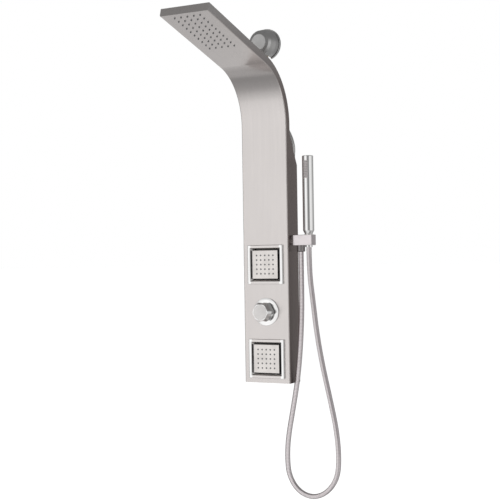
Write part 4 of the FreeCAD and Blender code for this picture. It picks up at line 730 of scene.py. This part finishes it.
# ---- operators -------------------------------------------------------------------------
class SHOWER_OT_stage(bpy.types.Operator):
    """Set up the floor, the soft studio light and the camera"""

    bl_idname = "shower_column.stage"
    bl_label = "Stage, light and camera"

    def execute(self, context):
        context.scene.view_settings.view_transform = "Standard"
        self.make_camera(context)
        self.make_world(context)
        self.make_floor()
        self.make_lamps(context)
        return {"FINISHED"}

    def make_camera(self, context):
        flat = math.cos(CAMERA_PITCH)
        ahead = Vector((-math.sin(CAMERA_YAW) * flat, math.cos(CAMERA_YAW) * flat, math.sin(CAMERA_PITCH)))
        right = Vector((math.cos(CAMERA_YAW), math.sin(CAMERA_YAW), 0.0))
        up = right.cross(ahead)
        level_right = right * math.cos(CAMERA_ROLL) + up * math.sin(CAMERA_ROLL)
        level_up = up * math.cos(CAMERA_ROLL) - right * math.sin(CAMERA_ROLL)
        turn = Matrix((level_right, level_up, -ahead)).transposed().to_4x4()
        lens = bpy.data.cameras.new("Catalogue camera")
        lens.sensor_fit = "HORIZONTAL"
        lens.sensor_width = SENSOR_WIDTH
        lens.lens = FOCAL_PIXELS / PICTURE_PIXELS * SENSOR_WIDTH
        lens.clip_end = CLIP_END
        camera = bpy.data.objects.new("Catalogue camera", lens)
        camera.matrix_world = Matrix.Translation(CAMERA_SPOT) @ turn
        context.scene.collection.objects.link(camera)
        context.scene.camera = camera

    def make_world(self, context):
        world = bpy.data.worlds.new("Studio")
        context.scene.world = world
        world.use_nodes = True
        tree = world.node_tree
        tree.nodes.clear()
        where = node(tree, "ShaderNodeTexCoord")
        x, y, z = axes(tree, where.outputs["Generated"])
        turn = calc(tree, "ARCTAN2", x, calc(tree, "MULTIPLY", y, -1.0))
        ramp = node(tree, "ShaderNodeValToRGB")
        join(tree, vary(tree, turn, by=1.0 / math.tau, base=0.5), ramp.inputs[0])
        stops = ramp.color_ramp.elements
        behind = STUDIO_ROUND[0][1]
        for stop, position in zip(stops, (0.0, 1.0)):
            stop.position = position
            stop.color = shade(behind, behind, behind)
        for degrees, level in STUDIO_ROUND[1:]:
            stop = stops.new((degrees + 180.0) / 360.0)
            stop.color = shade(level, level, level)
        low = LOW_LEVEL
        for start, end, step in STUDIO_LOW:
            low = calc(tree, "ADD", low, spread(tree, y, start, end, 0.0, step))
        room = blend_value(tree, spread(tree, z, *LOW_ZONE), ramp.outputs[0], low)
        room = blend_value(tree, spread(tree, z, *CEILING_ZONE), room, CEILING_LEVEL)
        rays = node(tree, "ShaderNodeLightPath")
        shiny = blend_value(tree, rays.outputs["Is Glossy Ray"], SOFT_LEVEL, room)
        seen = calc(tree, "MAXIMUM", rays.outputs["Is Camera Ray"], rays.outputs["Is Transmission Ray"])
        back = node(tree, "ShaderNodeBackground")
        put(tree, back, Color=shade(1.0, 1.0, 1.0), Strength=blend_value(tree, seen, shiny, 1.0))
        out = node(tree, "ShaderNodeOutputWorld")
        tree.links.new(back.outputs[0], out.inputs["Surface"])

    def make_floor(self):
        material, tree, shader, _, _ = start_finish("Pale floor")
        rays = node(tree, "ShaderNodeLightPath")
        glow = calc(tree, "MULTIPLY", rays.outputs["Is Camera Ray"], FLOOR_GLOW)
        put(tree, shader, Base_Color=shade(0.82, 0.82, 0.82), Roughness=0.9, Specular_IOR_Level=0.1,
            Emission_Color=shade(1.0, 1.0, 1.0), Emission_Strength=glow)
        bm = bmesh.new()
        bmesh.ops.create_grid(bm, x_segments=FLOOR_CELLS, y_segments=FLOOR_CELLS, size=FLOOR_HALF)
        bmesh.ops.translate(bm, vec=(0.0, 0.0, FLOOR_LEVEL), verts=bm.verts)
        floor = finish_piece(bm, "Floor", material)
        floor.visible_glossy = False

    def make_lamps(self, context):
        target = Vector(LAMP_TARGET)
        for name, spot, size, power in LAMPS:
            lamp = bpy.data.lights.new(name, "AREA")
            lamp.shape = "SQUARE"
            lamp.size = size
            lamp.energy = power
            holder = bpy.data.objects.new(name, lamp)
            holder.location = spot
            holder.rotation_euler = (target - Vector(spot)).to_track_quat("-Z", "Y").to_euler()
            holder.visible_glossy = False
            context.scene.collection.objects.link(holder)


class SHOWER_OT_finishes(bpy.types.Operator):
    """Make the finishes and put them on the column's solid parts"""

    bl_idname = "shower_column.finishes"
    bl_label = "Finishes"

    def execute(self, context):
        make_finishes(context.scene.shower_tones)
        for finish, names in NODE_FINISHES.items():
            for name in names:
                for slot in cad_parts[name].material_slots:
                    slot.material = FINISHES[finish]
        return {"FINISHED"}


class SHOWER_OT_hand_hose(bpy.types.Operator):
    """Make the wound steel hose between the holder and the hand shower"""

    bl_idname = "shower_column.hand_hose"
    bl_label = "Hand shower hose"

    def execute(self, context):
        sizes = context.scene.shower_sizes
        points = line_of("Hand hose line", HAND_ROUTE)
        length = sum((b - a).length for a, b in zip(points, points[1:]))
        turns = round(length / sizes.strip_pitch)
        rings = turns * RINGS_PER_TURN

        def radius_at(run, turn, total):
            phase = (run / total * turns + turn) % 1.0
            dip = max(0.0, (abs(phase - 0.5) - STRIP_FLAT) / STRIP_SEAM)
            return sizes.hose_radius * (1.0 - STRIP_DIP * dip)

        hose, path = hose_tube("Hand_shower_hose", points, rings, HAND_SIDES, radius_at, turns / length,
                               FINISHES["wound"])
        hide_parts("shower_hose")
        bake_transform(hose)
        return {"FINISHED"}


class SHOWER_OT_supply_hose(bpy.types.Operator):
    """Make the braided hose that brings water from the wall behind the neck"""

    bl_idname = "shower_column.supply_hose"
    bl_label = "Supply hose"

    def execute(self, context):
        sizes = context.scene.shower_sizes
        points = line_of("Supply hose line", SUPPLY_ROUTE)

        def radius_at(run, turn, total):
            ferrule = 0.0
            for end in (run, total - run):
                ferrule = max(ferrule, min(1.0, max(0.0, (FERRULE_LENGTH - end) / FERRULE_EDGE)))
            return sizes.supply_radius * (BRAID_SHARE + FERRULE_RISE * ferrule)

        hose, path = hose_tube("Supply_hose_braid", points, SUPPLY_RINGS, SUPPLY_SIDES, radius_at, BRAID_PER_METRE,
                               FINISHES["braid"])
        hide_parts("supply_hose")
        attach(hose, "column")
        return {"FINISHED"}


class SHOWER_OT_jet_frames(bpy.types.Operator):
    """Make the two rounded chrome frames round the body jets"""

    bl_idname = "shower_column.jet_frames"
    bl_label = "Jet frames"

    def execute(self, context):
        sizes = context.scene.shower_sizes
        for side, z in JETS:
            bm = bmesh.new()
            rings = [square_ring(half, corner, PANEL_FRONT - front * sizes.frame_height / FRAME_HEIGHT, z)
                     for half, corner, front in FRAME_SECTION]
            grow_rings(bm, rings)
            bmesh.ops.bridge_loops(bm, edges=[edge for edge in bm.edges if edge.is_boundary])
            bmesh.ops.recalc_face_normals(bm, faces=bm.faces)
            piece = finish_piece(bm, side.capitalize() + "_jet_frame", FINISHES["frame"], smooth_degrees=50.0)
            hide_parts(side + "_jet_frame")
            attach(piece, "column")
        return {"FINISHED"}


OPERATORS = [SHOWER_OT_stage, SHOWER_OT_finishes, SHOWER_OT_hand_hose, SHOWER_OT_supply_hose, SHOWER_OT_jet_frames]


class SHOWER_PT_column(bpy.types.Panel):
    """Lists the pieces, their sizes and colours"""

    bl_idname = "SHOWER_PT_column"
    bl_label = "Shower panel column"
    bl_space_type = "VIEW_3D"
    bl_region_type = "UI"
    bl_category = "Shower column"

    def draw(self, context):
        layout = self.layout
        for name in ("strip_pitch", "hose_radius", "supply_radius", "frame_height"):
            layout.prop(context.scene.shower_sizes, name)
        for name in ("steel", "steel_side_shade", "chrome", "hose"):
            layout.prop(context.scene.shower_tones, name)
        for operator in OPERATORS:
            layout.operator(operator.bl_idname)


CLASSES = [ColumnTones, ColumnSizes] + OPERATORS + [SHOWER_PT_column]


def register():
    for item in CLASSES:
        bpy.utils.register_class(item)
    bpy.types.Scene.shower_tones = bpy.props.PointerProperty(type=ColumnTones)
    bpy.types.Scene.shower_sizes = bpy.props.PointerProperty(type=ColumnSizes)


def unregister():
    del bpy.types.Scene.shower_tones
    del bpy.types.Scene.shower_sizes
    for item in reversed(CLASSES):
        bpy.utils.unregister_class(item)


def main():
    register()
    bpy.ops.shower_column.stage()
    bpy.ops.shower_column.finishes()
    bpy.ops.shower_column.hand_hose()
    bpy.ops.shower_column.supply_hose()
    bpy.ops.shower_column.jet_frames()


if __name__ == "__main__":
    main()
